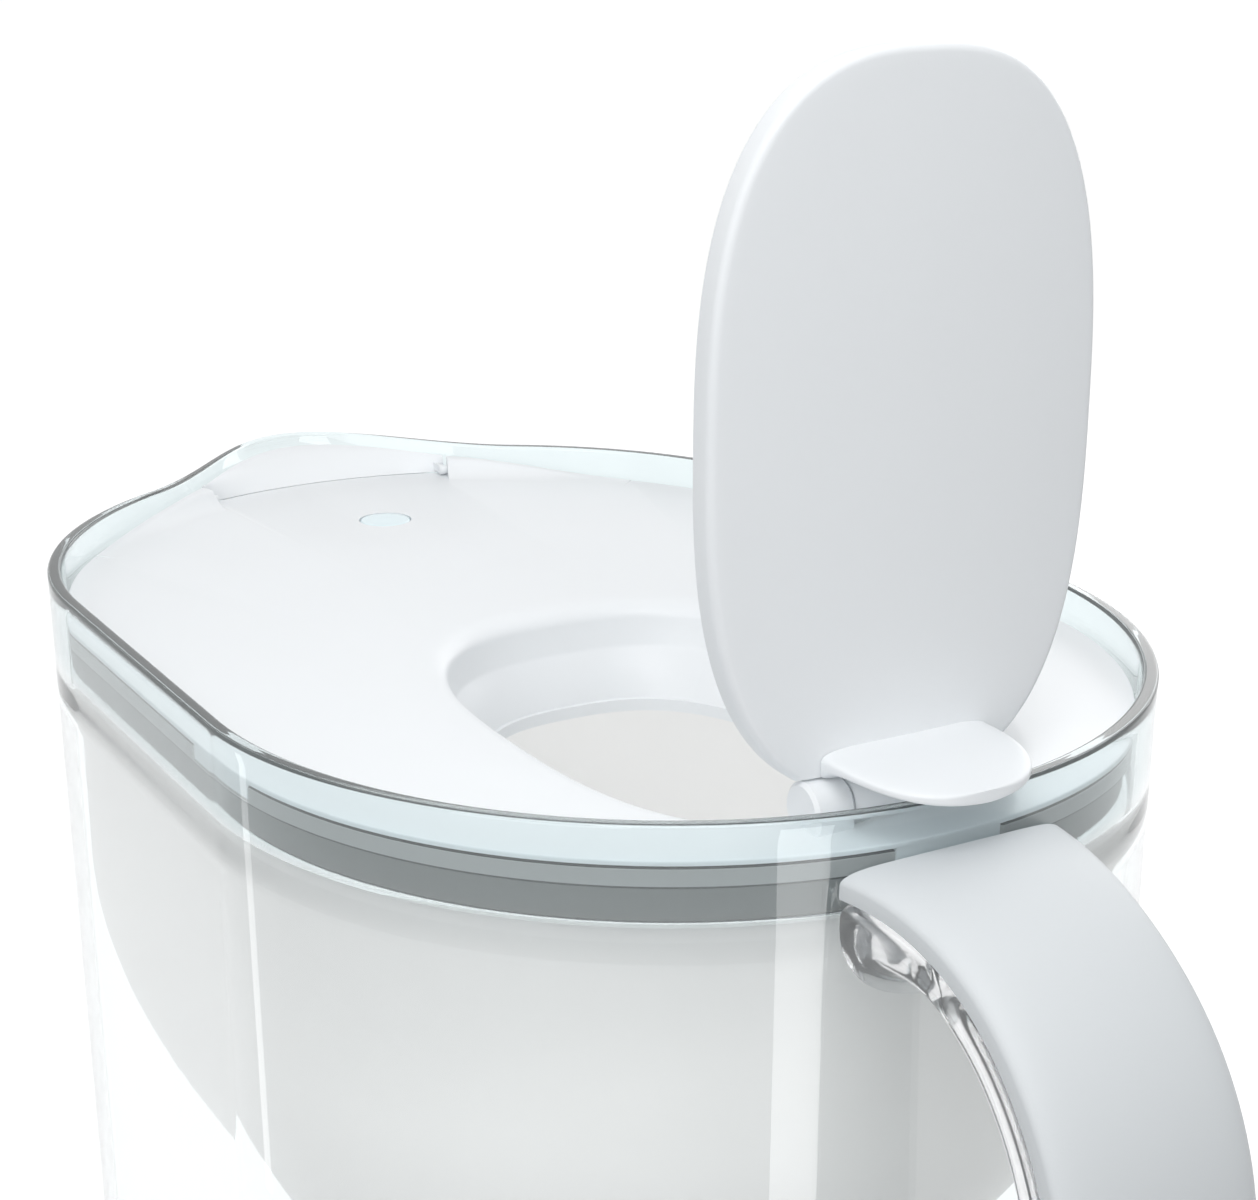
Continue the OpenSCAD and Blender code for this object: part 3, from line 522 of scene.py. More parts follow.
def join(objs, name):
    """One object from several"""
    with bpy.context.temp_override(active_object=objs[0], selected_editable_objects=objs):
        bpy.ops.object.join()
    objs[0].name = name
    objs[0].data.name = name
    return objs[0]


# ---- shared effects and materials -----------------------------------------

LEAST_GRAIN = 0.00001
SHADE_RUN = 0.002


def noise(tree, vector, scale, detail):
    return add(tree, "ShaderNodeTexNoise", {"Detail": detail, "Vector": vector, "Scale": scale}).outputs["Fac"]


def moulded_group():
    """Satin moulded plastic: fine grain for the bump, uneven gloss and a slight drift of colour"""
    tree, start, end = open_group(
        "Moulded plastic",
        "ShaderNodeTree",
        [
            ("Vector", "Vector", None),
            ("Colour", "Color", (0.8, 0.8, 0.8, 1)),
            ("Grain", "Float", 3500.0),
            ("Roughness", "Float", 0.4),
            ("Uneven", "Float", 0.06),
            ("Drift", "Float", 0.02),
        ],
        [("Colour", "Color"), ("Roughness", "Float"), ("Height", "Float")],
    )
    given = start.outputs

    def swing(scale, detail, reach, middle):
        share = maths(tree, "SUBTRACT", noise(tree, given["Vector"], scale, detail), 0.5)
        return maths(tree, "MULTIPLY_ADD", share, reach, middle)

    value = swing(35.0, 2, given["Drift"], 1.0)
    drift = add(tree, "ShaderNodeHueSaturation", {"Color": given["Colour"], "Value": value})
    feed(tree, end.inputs["Colour"], drift.outputs["Color"])
    feed(tree, end.inputs["Roughness"], swing(240.0, 4, given["Uneven"], given["Roughness"]))
    feed(tree, end.inputs["Height"], noise(tree, given["Vector"], given["Grain"], 3))


def new_material(name):
    material = bpy.data.materials.new(name)
    material.use_nodes = True
    return material, material.node_tree, material.node_tree.nodes["Principled BSDF"]


def place_in(tree):
    return add(tree, "ShaderNodeTexCoord").outputs["Object"]


def height_in(tree):
    return add(tree, "ShaderNodeSeparateXYZ", {0: place_in(tree)}).outputs["Z"]


def moulded(tree, shader, depth, **values):
    """Gives a shader the moulded effect's gloss and grain, and returns the effect's colour"""
    effect = bpy.data.node_groups["Moulded plastic"]
    group = add(tree, "ShaderNodeGroup", {"Vector": place_in(tree)}, node_tree=effect)
    for key, value in values.items():
        feed(tree, group.inputs[key], value)
    bump = add(tree, "ShaderNodeBump", {"Distance": depth, "Height": group.outputs["Height"]})
    feed(tree, shader.inputs["Roughness"], group.outputs["Roughness"])
    feed(tree, shader.inputs["Normal"], bump.outputs["Normal"])
    return group.outputs["Colour"]


def blend(tree, share, first, second):
    return add(tree, "ShaderNodeMixShader", {"Fac": share, 1: first, 2: second}).outputs[0]


def see_through(tree, left):
    return add(tree, "ShaderNodeBsdfTransparent", {"Color": left}).outputs[0]


def plastic(
    name, tone, roughness, grain=3500.0, depth=LEAST_GRAIN, uneven=0.06, drift=0.02, milky=0.0, lit=0.0, metallic=0.0
):
    """Moulded plastic: milky is its translucent share, lit the share of a lamp's light that passes through"""
    _, tree, shader = new_material(name)
    tone = moulded(tree, shader, depth, Colour=tone, Grain=grain, Roughness=roughness, Uneven=uneven, Drift=drift)
    feed(tree, shader.inputs["Base Color"], tone)
    feed(tree, shader.inputs["Metallic"], metallic)
    if milky:
        glow = add(tree, "ShaderNodeBsdfTranslucent", {"Color": tone}).outputs[0]
        both = blend(tree, milky, shader.outputs[0], glow)
        passed = maths(tree, "MULTIPLY", add(tree, "ShaderNodeLightPath").outputs["Is Shadow Ray"], lit)
        surface = blend(tree, passed, both, see_through(tree, (0.9, 0.9, 0.9, 1)))
        feed(tree, tree.nodes["Material Output"].inputs["Surface"], surface)


def clear_plastic(name, surface_colour, depth_colour, density, clear):
    """Clear moulded plastic that tints and darkens what is seen through a long way of it"""
    _, tree, shader = new_material(name)
    moulded(tree, shader, LEAST_GRAIN, Grain=60.0, Roughness=0.015, Uneven=0.01)
    feed(tree, shader.inputs["Base Color"], surface_colour)
    feed(tree, shader.inputs["Transmission Weight"], clear)
    feed(tree, shader.inputs["IOR"], 1.5)
    out = tree.nodes["Material Output"].inputs
    absorb = add(tree, "ShaderNodeVolumeAbsorption", {"Color": depth_colour, "Density": density})
    feed(tree, out["Volume"], absorb.outputs[0])
    path = add(tree, "ShaderNodeLightPath").outputs
    lighting = maths(tree, "MAXIMUM", path["Is Shadow Ray"], path["Is Diffuse Ray"])
    surface = blend(tree, lighting, shader.outputs[0], see_through(tree, (0.97, 0.98, 0.985, 1)))
    feed(tree, out["Surface"], surface)


def paint_shade_above(name, low_colour, high_colour, z):
    """Paints shade into a clear plastic: its colour goes over to another, darker colour above a height"""
    tree = bpy.data.materials[name].node_tree
    share = add(tree, "ShaderNodeMapRange", {"From Min": z, "From Max": z + SHADE_RUN, "Value": height_in(tree)})
    ends = {"A": low_colour, "B": high_colour, "Factor": share.outputs["Result"]}
    both = add(tree, "ShaderNodeMix", ends, data_type="RGBA")
    feed(tree, tree.nodes["Principled BSDF"].inputs["Base Color"], both.outputs["Result"])


def paint_gap_shade(name, shaded_bands):
    """Paints shade into the colour of a moulded plastic where its surface lies in deep gaps (low, high, share left)"""
    tree = bpy.data.materials[name].node_tree
    tone = next(n for n in tree.nodes if n.type == "GROUP").outputs["Colour"]
    ends = [link.to_socket for link in tone.links]
    # painted shade: the colour is multiplied down inside each height band
    z = height_in(tree)
    value = 1.0
    for low, high, left in shaded_bands:
        inside = maths(tree, "MULTIPLY", maths(tree, "GREATER_THAN", z, low), maths(tree, "LESS_THAN", z, high))
        value = maths(tree, "MULTIPLY", value, maths(tree, "MULTIPLY_ADD", inside, left - 1, 1.0))
    shade = add(tree, "ShaderNodeHueSaturation", {"Color": tone, "Value": value})
    for socket in ends:
        feed(tree, socket, shade.outputs["Color"])


def seen_by_eye(tree):
    """1 where the camera looks, straight, off a glossy surface or through a clear one"""
    path = add(tree, "ShaderNodeLightPath").outputs
    seen = maths(tree, "MAXIMUM", path["Is Camera Ray"], path["Is Transmission Ray"])
    return maths(tree, "MAXIMUM", seen, path["Is Glossy Ray"])


def material(name):
    return bpy.data.materials[name]


# ---- operators ------------------------------------------------------------

FINE_EDGE = 0.0003
CUT_THROUGH = 0.001
HINGE_GAP = 0.0004
SEAM_GAP = 0.0004
LENS_GAP = 0.0002
INTO_WALL = 0.006
PAST_WALL = 0.0015
RIM_START = 0.0025
CAP_LIFT = 0.0021
FLAP_PIN_IN = 0.0013


class JUG_OT_finishes(bpy.types.Operator):
    """Makes every finish"""

    bl_idname = "jug.finishes"
    bl_label = "Finishes"

    def execute(self, context):
        looks = context.scene.jug_looks
        moulded_group()
        look, jug, hopper = looks.finish, looks.jug, looks.hopper
        clear_plastic("Clear plastic", look.clear, look.clear_depth, density=16.0, clear=0.96)
        clear_plastic("Clear core", look.core, look.clear_depth, density=0.5, clear=0.92)
        # painted shade: the clear plastic goes over to the darker rim colour above the ledge
        paint_shade_above("Clear plastic", look.clear, look.rim, jug.height - jug.ledge_drop)
        plastic("Lid white", look.lid, 0.36, milky=0.12, lit=0.2)
        plastic("Grip white", look.grip, 0.5, grain=2600.0, depth=0.00002)
        plastic("Hopper white", look.hopper, 0.32, grain=500.0, depth=0.000001, milky=0.6, lit=0.9)
        top = jug.height - hopper.drop
        low, ledge = top - hopper.band_h, jug.height - jug.ledge_drop
        # painted shadows: thin dark lines along the band's two edges, then painted shade over the neck and over the
        # band itself
        painted_shadow_lines = [(low - 0.0002, low + 0.00035, 0.2), (top - 0.00015, top + 0.0001, 0.1)]
        paint_gap_shade("Hopper white", [(ledge, low, 0.41), (low, top, 0.8)] + painted_shadow_lines)
        plastic("Lens", look.lens, 0.22, grain=1500.0, depth=0.000005)
        plastic("Cartridge white", look.cartridge, 0.45)
        plastic("Housing grey", (0.72, 0.73, 0.75, 1), 0.5)
        plastic("Seal", (0.32, 0.38, 0.42, 1), 0.6, grain=1800.0, depth=0.00002)
        plastic("Board", (0.03, 0.16, 0.07, 1), 0.35, grain=900.0)
        plastic("Switch", (0.03, 0.03, 0.035, 1), 0.45)
        plastic("Light", (0.85, 0.84, 0.70, 1), 0.15)
        plastic("Cell steel", (0.62, 0.63, 0.65, 1), 0.28, grain=1200.0, metallic=1.0)
        plastic("Clip metal", (0.72, 0.56, 0.25, 1), 0.3, grain=1200.0, metallic=1.0)
        plastic("Screen", (0.42, 0.45, 0.48, 1), 0.7, grain=1500.0, depth=0.0002)
        plastic("Granules", (0.03, 0.028, 0.026, 1), 0.85, grain=700.0, depth=0.0006, drift=0.5)
        return {"FINISHED"}


class JUG_OT_body(bpy.types.Operator):
    """Clear jug with its beak and inner ledge"""

    bl_idname = "jug.body"
    bl_label = "Jug"

    def execute(self, context):
        jug = context.scene.jug_looks.jug
        rings = self.outside(jug) + self.rim(jug) + self.inside(jug)
        body = loft("jug_shell", rings, sharp=40)
        dress(body, material("Clear plastic"), "jug", ["jug_body"])
        return {"FINISHED"}

    def outside(self, jug):
        rings = []
        for a in arc(0, 90, 12):
            z = jug.foot_round * (1 - math.cos(a))
            rings.append(flat_ring(oval(jug_r(jug, z) - jug.foot_round * (1 - math.sin(a)), jug.half_span), z))
        low = jug.height - jug.beak_h
        for k in range(1, 12):
            z = mix(jug.foot_round, low, k / 12)
            rings.append(flat_ring(oval(jug_r(jug, z), jug.half_span), z))
        for k in range(17):
            rings.append(wall_ring(jug, 0, mix(low, jug.height - RIM_START, k / 16)))
        return rings

    def rim(self, jug):
        edge = jug.rim_edge
        section = [(edge * (1 - math.cos(a)), edge * (1 - math.sin(a))) for a in arc(0, 90, 6)]
        section += [(mix(edge, jug.wall - edge, k / 3), 0) for k in (1, 2)]
        section += [(jug.wall - inset, down) for inset, down in section[6::-1]]
        return [
            beak_ring(jug, jug.rim_r - inset, jug.height - down, jug.beak_out, jug.beak_rise)
            for inset, down in section
        ]

    def inside(self, jug):
        ledge = jug.height - jug.ledge_drop
        low = jug.height - jug.beak_h
        rings = [wall_ring(jug, jug.wall, jug.height - RIM_START - 0.0015 * k) for k in range(7)]
        reach = jug.wall + jug.ledge_in
        top = ((jug.wall, 0), (reach - FINE_EDGE, 0), (reach, FINE_EDGE), (reach, jug.ledge_t))
        rings += [wall_ring(jug, inset, ledge - down) for inset, down in top]
        under = [(0.5 + 0.5 * math.cos(math.pi * k / 12), jug.ledge_t + jug.ledge_run * k / 12) for k in range(1, 13)]
        rings += [wall_ring(jug, jug.wall + jug.ledge_in * share, ledge - down) for share, down in under]
        rings += [wall_ring(jug, jug.wall, mix(ledge - 0.008, low, k / 6)) for k in range(7)]
        inner_round = jug.foot_round - jug.wall
        bottom = jug.floor + inner_round
        for k in range(1, 12):
            z = mix(low, bottom, k / 12)
            rings.append(flat_ring(oval(jug_r(jug, z) - jug.wall, jug.half_span), z))
        for a in arc(90, 0, 12):
            z = jug.floor + inner_round * (1 - math.cos(a))
            r = jug_r(jug, z) - jug.wall - inner_round * (1 - math.sin(a))
            rings.append(flat_ring(oval(r, jug.half_span), z))
        return rings


def wall_ring(jug, inset, z):
    """Ring of the wall with the beak, which rises towards the rim"""
    rise = jug.beak_rise * max(0, 1 - (jug.height - z) / 0.008)
    return beak_ring(jug, jug_r(jug, z) - inset, z, beak_at(jug, z), rise)


def wall_places(jug, handle):
    """Middle of the wall where the handle's upper and lower ends meet it"""
    upper = jug.half_span + jug_r(jug, jug.height - handle.upper_drop) - jug.wall / 2
    lower = jug.half_span + jug_r(jug, jug.height - handle.lower_drop - handle.lower_r) - jug.wall / 2
    return upper, lower


def handle_top(jug, handle):
    return jug.height - handle.upper_drop + handle.upper_r


def handle_low(jug, handle):
    return jug.height - handle.lower_drop - handle.lower_r


def handle_path(jug, handle, share=1.0, steps=24):
    """Points (x, z, angle) along the two bends, up to a share of the lower one"""
    x = wall_places(jug, handle)[0] + handle.stub
    top = Vector((x, jug.height - handle.upper_drop))
    low = Vector((x, jug.height - handle.lower_drop))
    run = -90 + math.degrees(math.acos((handle.upper_r - handle.lower_r) / (top - low).length))
    path = []
    for centre, r, a0, a1 in ((top, handle.upper_r, 90, run), (low, handle.lower_r, run, mix(run, -90, share))):
        path += [(centre.x + r * math.cos(a), centre.y + r * math.sin(a), a) for a in arc(a0, a1, steps)]
    return path


def handle_ring(p, section):
    """Ring of a section at a path point: u runs outwards, v across"""
    return [(p[0] + u * math.cos(p[2]), -v, p[1] + u * math.sin(p[2])) for u, v in section]


def wall_solid(jug, gap):
    """Solid inside the wall's outer face, grown by a gap"""
    return loft("wall", [wall_ring(jug, -gap, jug.height * mix(0.2, 1, k / 32)) for k in range(33)])


def near_wall(p, wall_x, run):
    """1 at the wall, falling to 0 over a run"""
    return min(1, max(0, 1 - (p[0] - wall_x) / run))


def widen(handle, p, wall_x):
    """How much wider than its middle the handle is at a path point"""
    return 1 + handle.root_wide / handle.width * near_wall(p, wall_x, handle.wide_run) ** 2


def core_section(handle, p, wall_x, n=64):
    """Section of the clear core, thicker and rounder on its inner side near the wall"""
    near = near_wall(p, wall_x, handle.flare_run)
    inner = handle.core_t / 2 + handle.flare * near**2
    half_w = handle.width / 2 * widen(handle, p, wall_x)
    section = []
    for a in turns(n):
        c = math.cos(a)
        half_t, e = (handle.core_t / 2, 0.5) if c > 0 else (inner, mix(0.5, 0.9, near))
        section.append((half_t * power(c, e) - handle.grip_t / 2, half_w * power(math.sin(a), e)))
    return section


def root_points(x0, x1, z, angle, steps=6):
    """Path points straight through the wall"""
    return [(mix(x0, x1, k / steps), z, math.radians(angle)) for k in range(steps + 1)]


class JUG_OT_core(bpy.types.Operator):
    """Clear core of the loop handle"""

    bl_idname = "jug.core"
    bl_label = "Handle core"

    def execute(self, context):
        looks = context.scene.jug_looks
        jug, handle = looks.jug, looks.handle
        upper, lower = wall_places(jug, handle)
        path = root_points(upper - INTO_WALL, upper + PAST_WALL, handle_top(jug, handle), 90)
        path += handle_path(jug, handle, steps=36)
        path += root_points(upper + PAST_WALL, lower - INTO_WALL, handle_low(jug, handle), -90)
        core = loft("handle_core_skin", [handle_ring(p, core_section(handle, p, upper)) for p in path], sharp=60)
        combine(core, wall_solid(jug, 0.00005), "DIFFERENCE", 50)
        dress(core, material("Clear core"), "jug", ["handle_core"])
        return {"FINISHED"}


class JUG_OT_grip(bpy.types.Operator):
    """Soft crowned strip on the outside of the handle"""

    bl_idname = "jug.grip"
    bl_label = "Grip"

    def execute(self, context):
        looks = context.scene.jug_looks
        jug, handle = looks.jug, looks.handle
        bed = handle.core_t / 2 - handle.grip_t / 2 + 0.0001
        half = handle.width / 2 + 0.0003
        section = [(bed, -half)]
        for k in range(25):
            v = math.sin(mix(-90, 90, k / 24) * math.pi / 180)
            side = handle.grip_t * 0.55
            high = side + (handle.grip_t - side) * math.sqrt(1 - abs(v) ** 8) + handle.grip_crown * (1 - v * v)
            section.append((bed + high, half * v))
        section.append((bed, half))
        wall_x = wall_places(jug, handle)[0]
        path = root_points(wall_x - INTO_WALL, wall_x + PAST_WALL, handle_top(jug, handle), 90)
        path += handle_path(jug, handle, 5 / 6, 36)
        rings = []
        for p in path:
            wide = widen(handle, p, wall_x)
            rings.append(handle_ring(p, [(u, v * wide) for u, v in section]))
        grip = loft("handle_grip_skin", rings, sharp=50)
        combine(grip, wall_solid(jug, 0.0003), "DIFFERENCE", 50)
        dress(grip, material("Grip white"), "jug", ["handle_grip"])
        return {"FINISHED"}


class JUG_OT_hopper(bpy.types.Operator):
    """Hopper with its rim band and bowl"""

    bl_idname = "jug.hopper"
    bl_label = "Hopper"

    def execute(self, context):
        looks = context.scene.jug_looks
        jug, hopper, lid = looks.jug, looks.hopper, looks.lid
        top = jug.height - hopper.drop
        ledge = jug.height - jug.ledge_drop
        seat = jug.height - hopper.seat_drop
        band_r = jug_r(jug, top) - jug.wall - hopper.band_gap
        bowl_r = band_r - hopper.bowl_in

        def plain(r, z):
            return flat_ring(oval(r, jug.half_span), z)

        def channel(r, z, half=jug.half_span, depth=hopper.channel_in):
            return [(x + (depth * beak_bump(jug, y) if x < 0 else 0), y, z) for x, y in oval(r, half)]

        def bowl(t, inset):
            share = 1 - t * t
            z = jug.height - mix(hopper.bowl_drop, hopper.seat_drop, t)
            r = mix(hopper.seat_r, bowl_r, share) - inset
            return channel(r, z, max(jug.half_span * share, 1e-5), hopper.channel_in * share)

        def floor_ring(r, z):
            return flat_ring(oval(r, 1e-5), z)

        steps = 32
        foot = seat - hopper.seat_t
        collar = foot - hopper.collar_h
        outer_r = hopper.bore_r + hopper.wall
        below = [
            (hopper.bore_r, collar), (outer_r - FINE_EDGE, collar), (outer_r, collar + FINE_EDGE),
            (outer_r, foot - 0.0006), (outer_r + 0.0006, foot), (hopper.seat_r - 0.0005, foot),
            (hopper.seat_r, foot + 0.0005),
        ]
        rings = [floor_ring(r, z) for r, z in below]
        rings += [bowl(k / steps, 0) for k in range(steps, -1, -1)]
        bend = bowl(0, 0)[0][2]
        step = ledge + 0.0001
        shelf = step + hopper.wall
        rings += [channel(bowl_r, mix(bend, step - 0.0006, k / 6)) for k in range(1, 7)]
        rings += [channel(bowl_r + 0.0002, step - 0.0001)]
        neck = band_r - hopper.neck_in
        low = top - hopper.band_h
        rings += [plain(neck - 0.0002, step), plain(neck, step + 0.0002), plain(neck, low), plain(band_r - 0.0002, low)]
        rings += [plain(band_r, low + 0.0002), plain(band_r, top - 0.0002), plain(band_r - 0.0002, top)]
        inner = bowl_r - hopper.wall
        rings += [plain(inner + 0.0003, top), plain(inner, top - 0.0003), plain(inner, shelf + 0.0001)]
        rings += [channel(inner - 0.0001, shelf - 0.0001)]
        rings += [channel(inner, mix(shelf - 0.0008, bend, k / 6)) for k in range(6)]
        rings += [bowl(k / steps, hopper.wall) for k in range(steps + 1)]
        rings += [floor_ring(hopper.bore_r, seat)]
        obj = loft("hopper_skin", rings, closed=True, sharp=35)
        for low_corner, high_corner in lid_tongues(jug, lid, 0.0003):
            combine(obj, block("slot", low_corner, high_corner, 0), "DIFFERENCE", 35)
        dress(obj, material("Hopper white"), "jug", ["hopper"])
        return {"FINISHED"}


def lid_tongues(jug, lid, gap=0.0):
    """Boxes of the tongue at the handle and of the two side tabs, grown by a gap"""
    r = edge_r(jug, lid)
    high = plate_z(jug, lid) - lid.plate_edge
    low = high - lid.tongue_h - gap * 0.7
    far, near = jug.half_span + r + gap * 20, jug.half_span + r - 0.0028
    boxes = [((near, -lid.tongue_w / 2 - gap, low), (far, lid.tongue_w / 2 + gap, high + 0.0002))]
    for side in (-1, 1):
        x0, x1 = jug.half_span - lid.tab_w / 2 - gap, jug.half_span + lid.tab_w / 2 + gap
        y = sorted((side * (r - 0.0024 - gap), side * (r + gap * 20)))
        boxes.append(((x0, y[0], low), (x1, y[1], high + 0.0002)))
    return boxes


class JUG_OT_lid_plate(bpy.types.Operator):
    """Lid plate with its filling recess, hinge lugs and the collar beside the flap"""

    bl_idname = "jug.lid_plate"
    bl_label = "Lid plate"

    def execute(self, context):
        looks = context.scene.jug_looks
        jug, lid, flip, flap = looks.jug, looks.lid, looks.flip, looks.flap
        z = plate_z(jug, lid)
        plate = loft("lid_plate", self.rings(jug, lid), closed=True, sharp=40)
        hinge_z = jug.height - flip.hinge_drop
        for side in (-1, 1):
            y0 = side * (flip.barrel_half + HINGE_GAP) - (flip.lug_t if side < 0 else 0)
            lug = rod_y("lug", flip.lug_r, flip.hinge_x, hinge_z, y0, y0 + flip.lug_t, 0.0005)
            combine(plate, lug, "UNION", 40)
            low = (flip.hinge_x - flip.lug_r + 0.0008, y0 + 0.0001, z - lid.lip_h - lid.wall_h - 0.0028)
            high = (flip.hinge_x + flip.lug_r - 0.0006, y0 + flip.lug_t - 0.0001, hinge_z)
            combine(plate, block("foot", low, high, 0.0004), "UNION", 40)
            combine(plate, self.collar(jug, lid, flap, side), "UNION", 40)
        self.tongues(plate, jug, lid)
        self.flap_seats(plate, jug, lid, flap)
        eye = looks.indicator
        t = lid.plate_t
        rest = (lid.recess_x - lid.recess_a + lid.lip_in - 0.0006, 0.014, z - lid.lip_h - 0.0016)
        combine(plate, block("rest", rest, (rest[0] + 0.0024, 0.0176, rest[2] + 0.0016)), "UNION", 40)
        ring_in, ring_out = eye.housing_r + 0.0001, eye.housing_r + 0.0014
        low, high = z - t - 0.0031, z - t / 2
        wall = [(ring_in, low), (ring_out, low), (ring_out, high), (ring_in, high)]
        combine(plate, lathe("housing ring", wall, True, eye.x, 96, 35), "UNION", 40)
        pocket_half = flip.barrel_half + HINGE_GAP
        pocket = rod_y("pocket", flip.barrel_r + 0.0005, flip.hinge_x, hinge_z, -pocket_half, pocket_half, 0)
        combine(plate, pocket, "DIFFERENCE", 40)
        lens_hole = [(eye.lens_r + LENS_GAP, z - 0.004), (eye.lens_r + LENS_GAP, z + CUT_THROUGH)]
        combine(plate, lathe("hole", lens_hole, False, eye.x, 96, 35), "DIFFERENCE", 40)
        dress(plate, material("Lid white"), "jug", ["lid_cover"])
        return {"FINISHED"}

    def rings(self, jug, lid):
        """Section of the plate, over its top, down the recess to the hole and back underneath"""
        z = plate_z(jug, lid)
        r = edge_r(jug, lid)
        foot = lid.lip_h + lid.wall_h
        t = lid.plate_t

        def edge(inset, down):
            return [
                (x - (nose(jug, lid, y) if x < 0 else 0), y, z - down) for x, y in oval(r - inset, jug.half_span)
            ]

        def recess(inset, down):
            half_l, half_w = lid.recess_a - inset, lid.recess_b - inset
            return flat_ring(squared(lid.recess_x, half_l, half_w, lid.squareness), z - down)

        def hole(inset, down):
            half_l, half_w = lid.hole_a - inset, lid.hole_b - inset
            return flat_ring(squared(lid.hole_x, half_l, half_w, lid.squareness), z - down)

        rings = [edge(0, lid.plate_edge)] + [
            edge(0.00025 * (1 - math.cos(a)), 0.00025 * (1 - math.sin(a))) for a in arc(0, 90, 4)
        ]
        rings += [recess(lid.lip_in * math.sin(a), lid.lip_h * (1 - math.cos(a))) for a in arc(0, 90, 14)]
        deep = lid.hole_depth
        step = ((0.0006, 0), (0.0009, 0.0006), (0.002, 0.0013))
        rings += [recess(lid.lip_in + out, foot + down) for out, down in step]
        edges = ((-0.0004, deep - 0.0002), (0, deep), (0, deep + t), (-0.0003, deep + t))
        rings += [hole(inset, down) for inset, down in edges]
        back = ((0.0012, foot + 0.0013 + t), (0.0006 - t, foot), (-t, t))
        rings += [recess(lid.lip_in + out, down) for out, down in back]
        rib_out = r - 0.0027
        rib_in = rib_out - lid.rib_t
        low = lid.plate_edge + lid.rib_h
        for inner, down in ((rib_in, t), (rib_in, low), (rib_out, low), (rib_out, lid.plate_edge)):
            rings.append(flat_ring(oval(inner, jug.half_span), z - down))
        return rings

    def tongues(self, plate, jug, lid):
        """Tongue and side tabs that drop into the hopper's rim"""
        r = edge_r(jug, lid)
        rim = [flat_ring(oval(inset, jug.half_span), up) for inset, up in (
            (r - 0.0018, plate_z(jug, lid) - 0.004), (r - 0.0002, plate_z(jug, lid) - 0.004),
            (r - 0.0002, plate_z(jug, lid) - 0.0003), (r - 0.0018, plate_z(jug, lid) - 0.0003),
        )]
        for low, high in lid_tongues(jug, lid):
            piece = loft("rim piece", rim, closed=True)
            combine(piece, block("keep", low, high, 0), "INTERSECT", 40)
            combine(plate, piece, "UNION", 40)

    def flap_seats(self, plate, jug, lid, flap):
        """Seats for the flap's pins, with room for its hubs"""
        x, z = flap_hinge(jug, lid, flap)
        seam = flap.half + SEAM_GAP
        for side in (-1, 1):
            ends = sorted((side * seam, side * (seam + flap.pin_l + 0.0003)))
            combine(plate, rod_y("seat", flap.pin_r + 0.00055, x, z, *ends, 0), "UNION", 40)
            ends = sorted((side * (flap.half - 0.0024), side * seam))
            combine(plate, rod_y("room", flap.pin_r + 0.0004, x, z, *ends, 0), "DIFFERENCE", 40)

    def collar(self, jug, lid, flap, side):
        """Low wall beside the flap that dies away along the plate's edge"""
        z = plate_z(jug, lid)
        seam = flap.half + SEAM_GAP
        rings = []
        for k in range(33):
            t = k / 32
            y = mix(seam, flap.collar_end, t)
            rise = mix(flap.collar_rise, 0.00015, t * t * (3 - 2 * t))
            x = edge_x(jug, lid, y)
            away = Vector((x + jug.half_span, y)).normalized()
            thick = flap.collar_t + 0.0016 * max(0, 1 - t * 3) ** 2
            section = [(0.0001, -0.0003), (0.0001, rise - 0.0002), (0.0003, rise)]
            section += [(thick - 0.0003, rise), (thick, rise * 0.93)]
            slope = (0.08, 0.2, 0.35, 0.5, 0.7, 0.85, 1)
            section += [(thick + 0.0045 * u, rise * 0.9 * (1 - u) ** 2.2) for u in slope]
            section += [(thick + 0.0046, -0.0003)]
            rings.append([(x - away.x * inset, side * (y - away.y * inset), z + up) for inset, up in section])
        if side < 0:
            rings = [ring[::-1] for ring in rings]
        return loft("collar", rings, sharp=50)


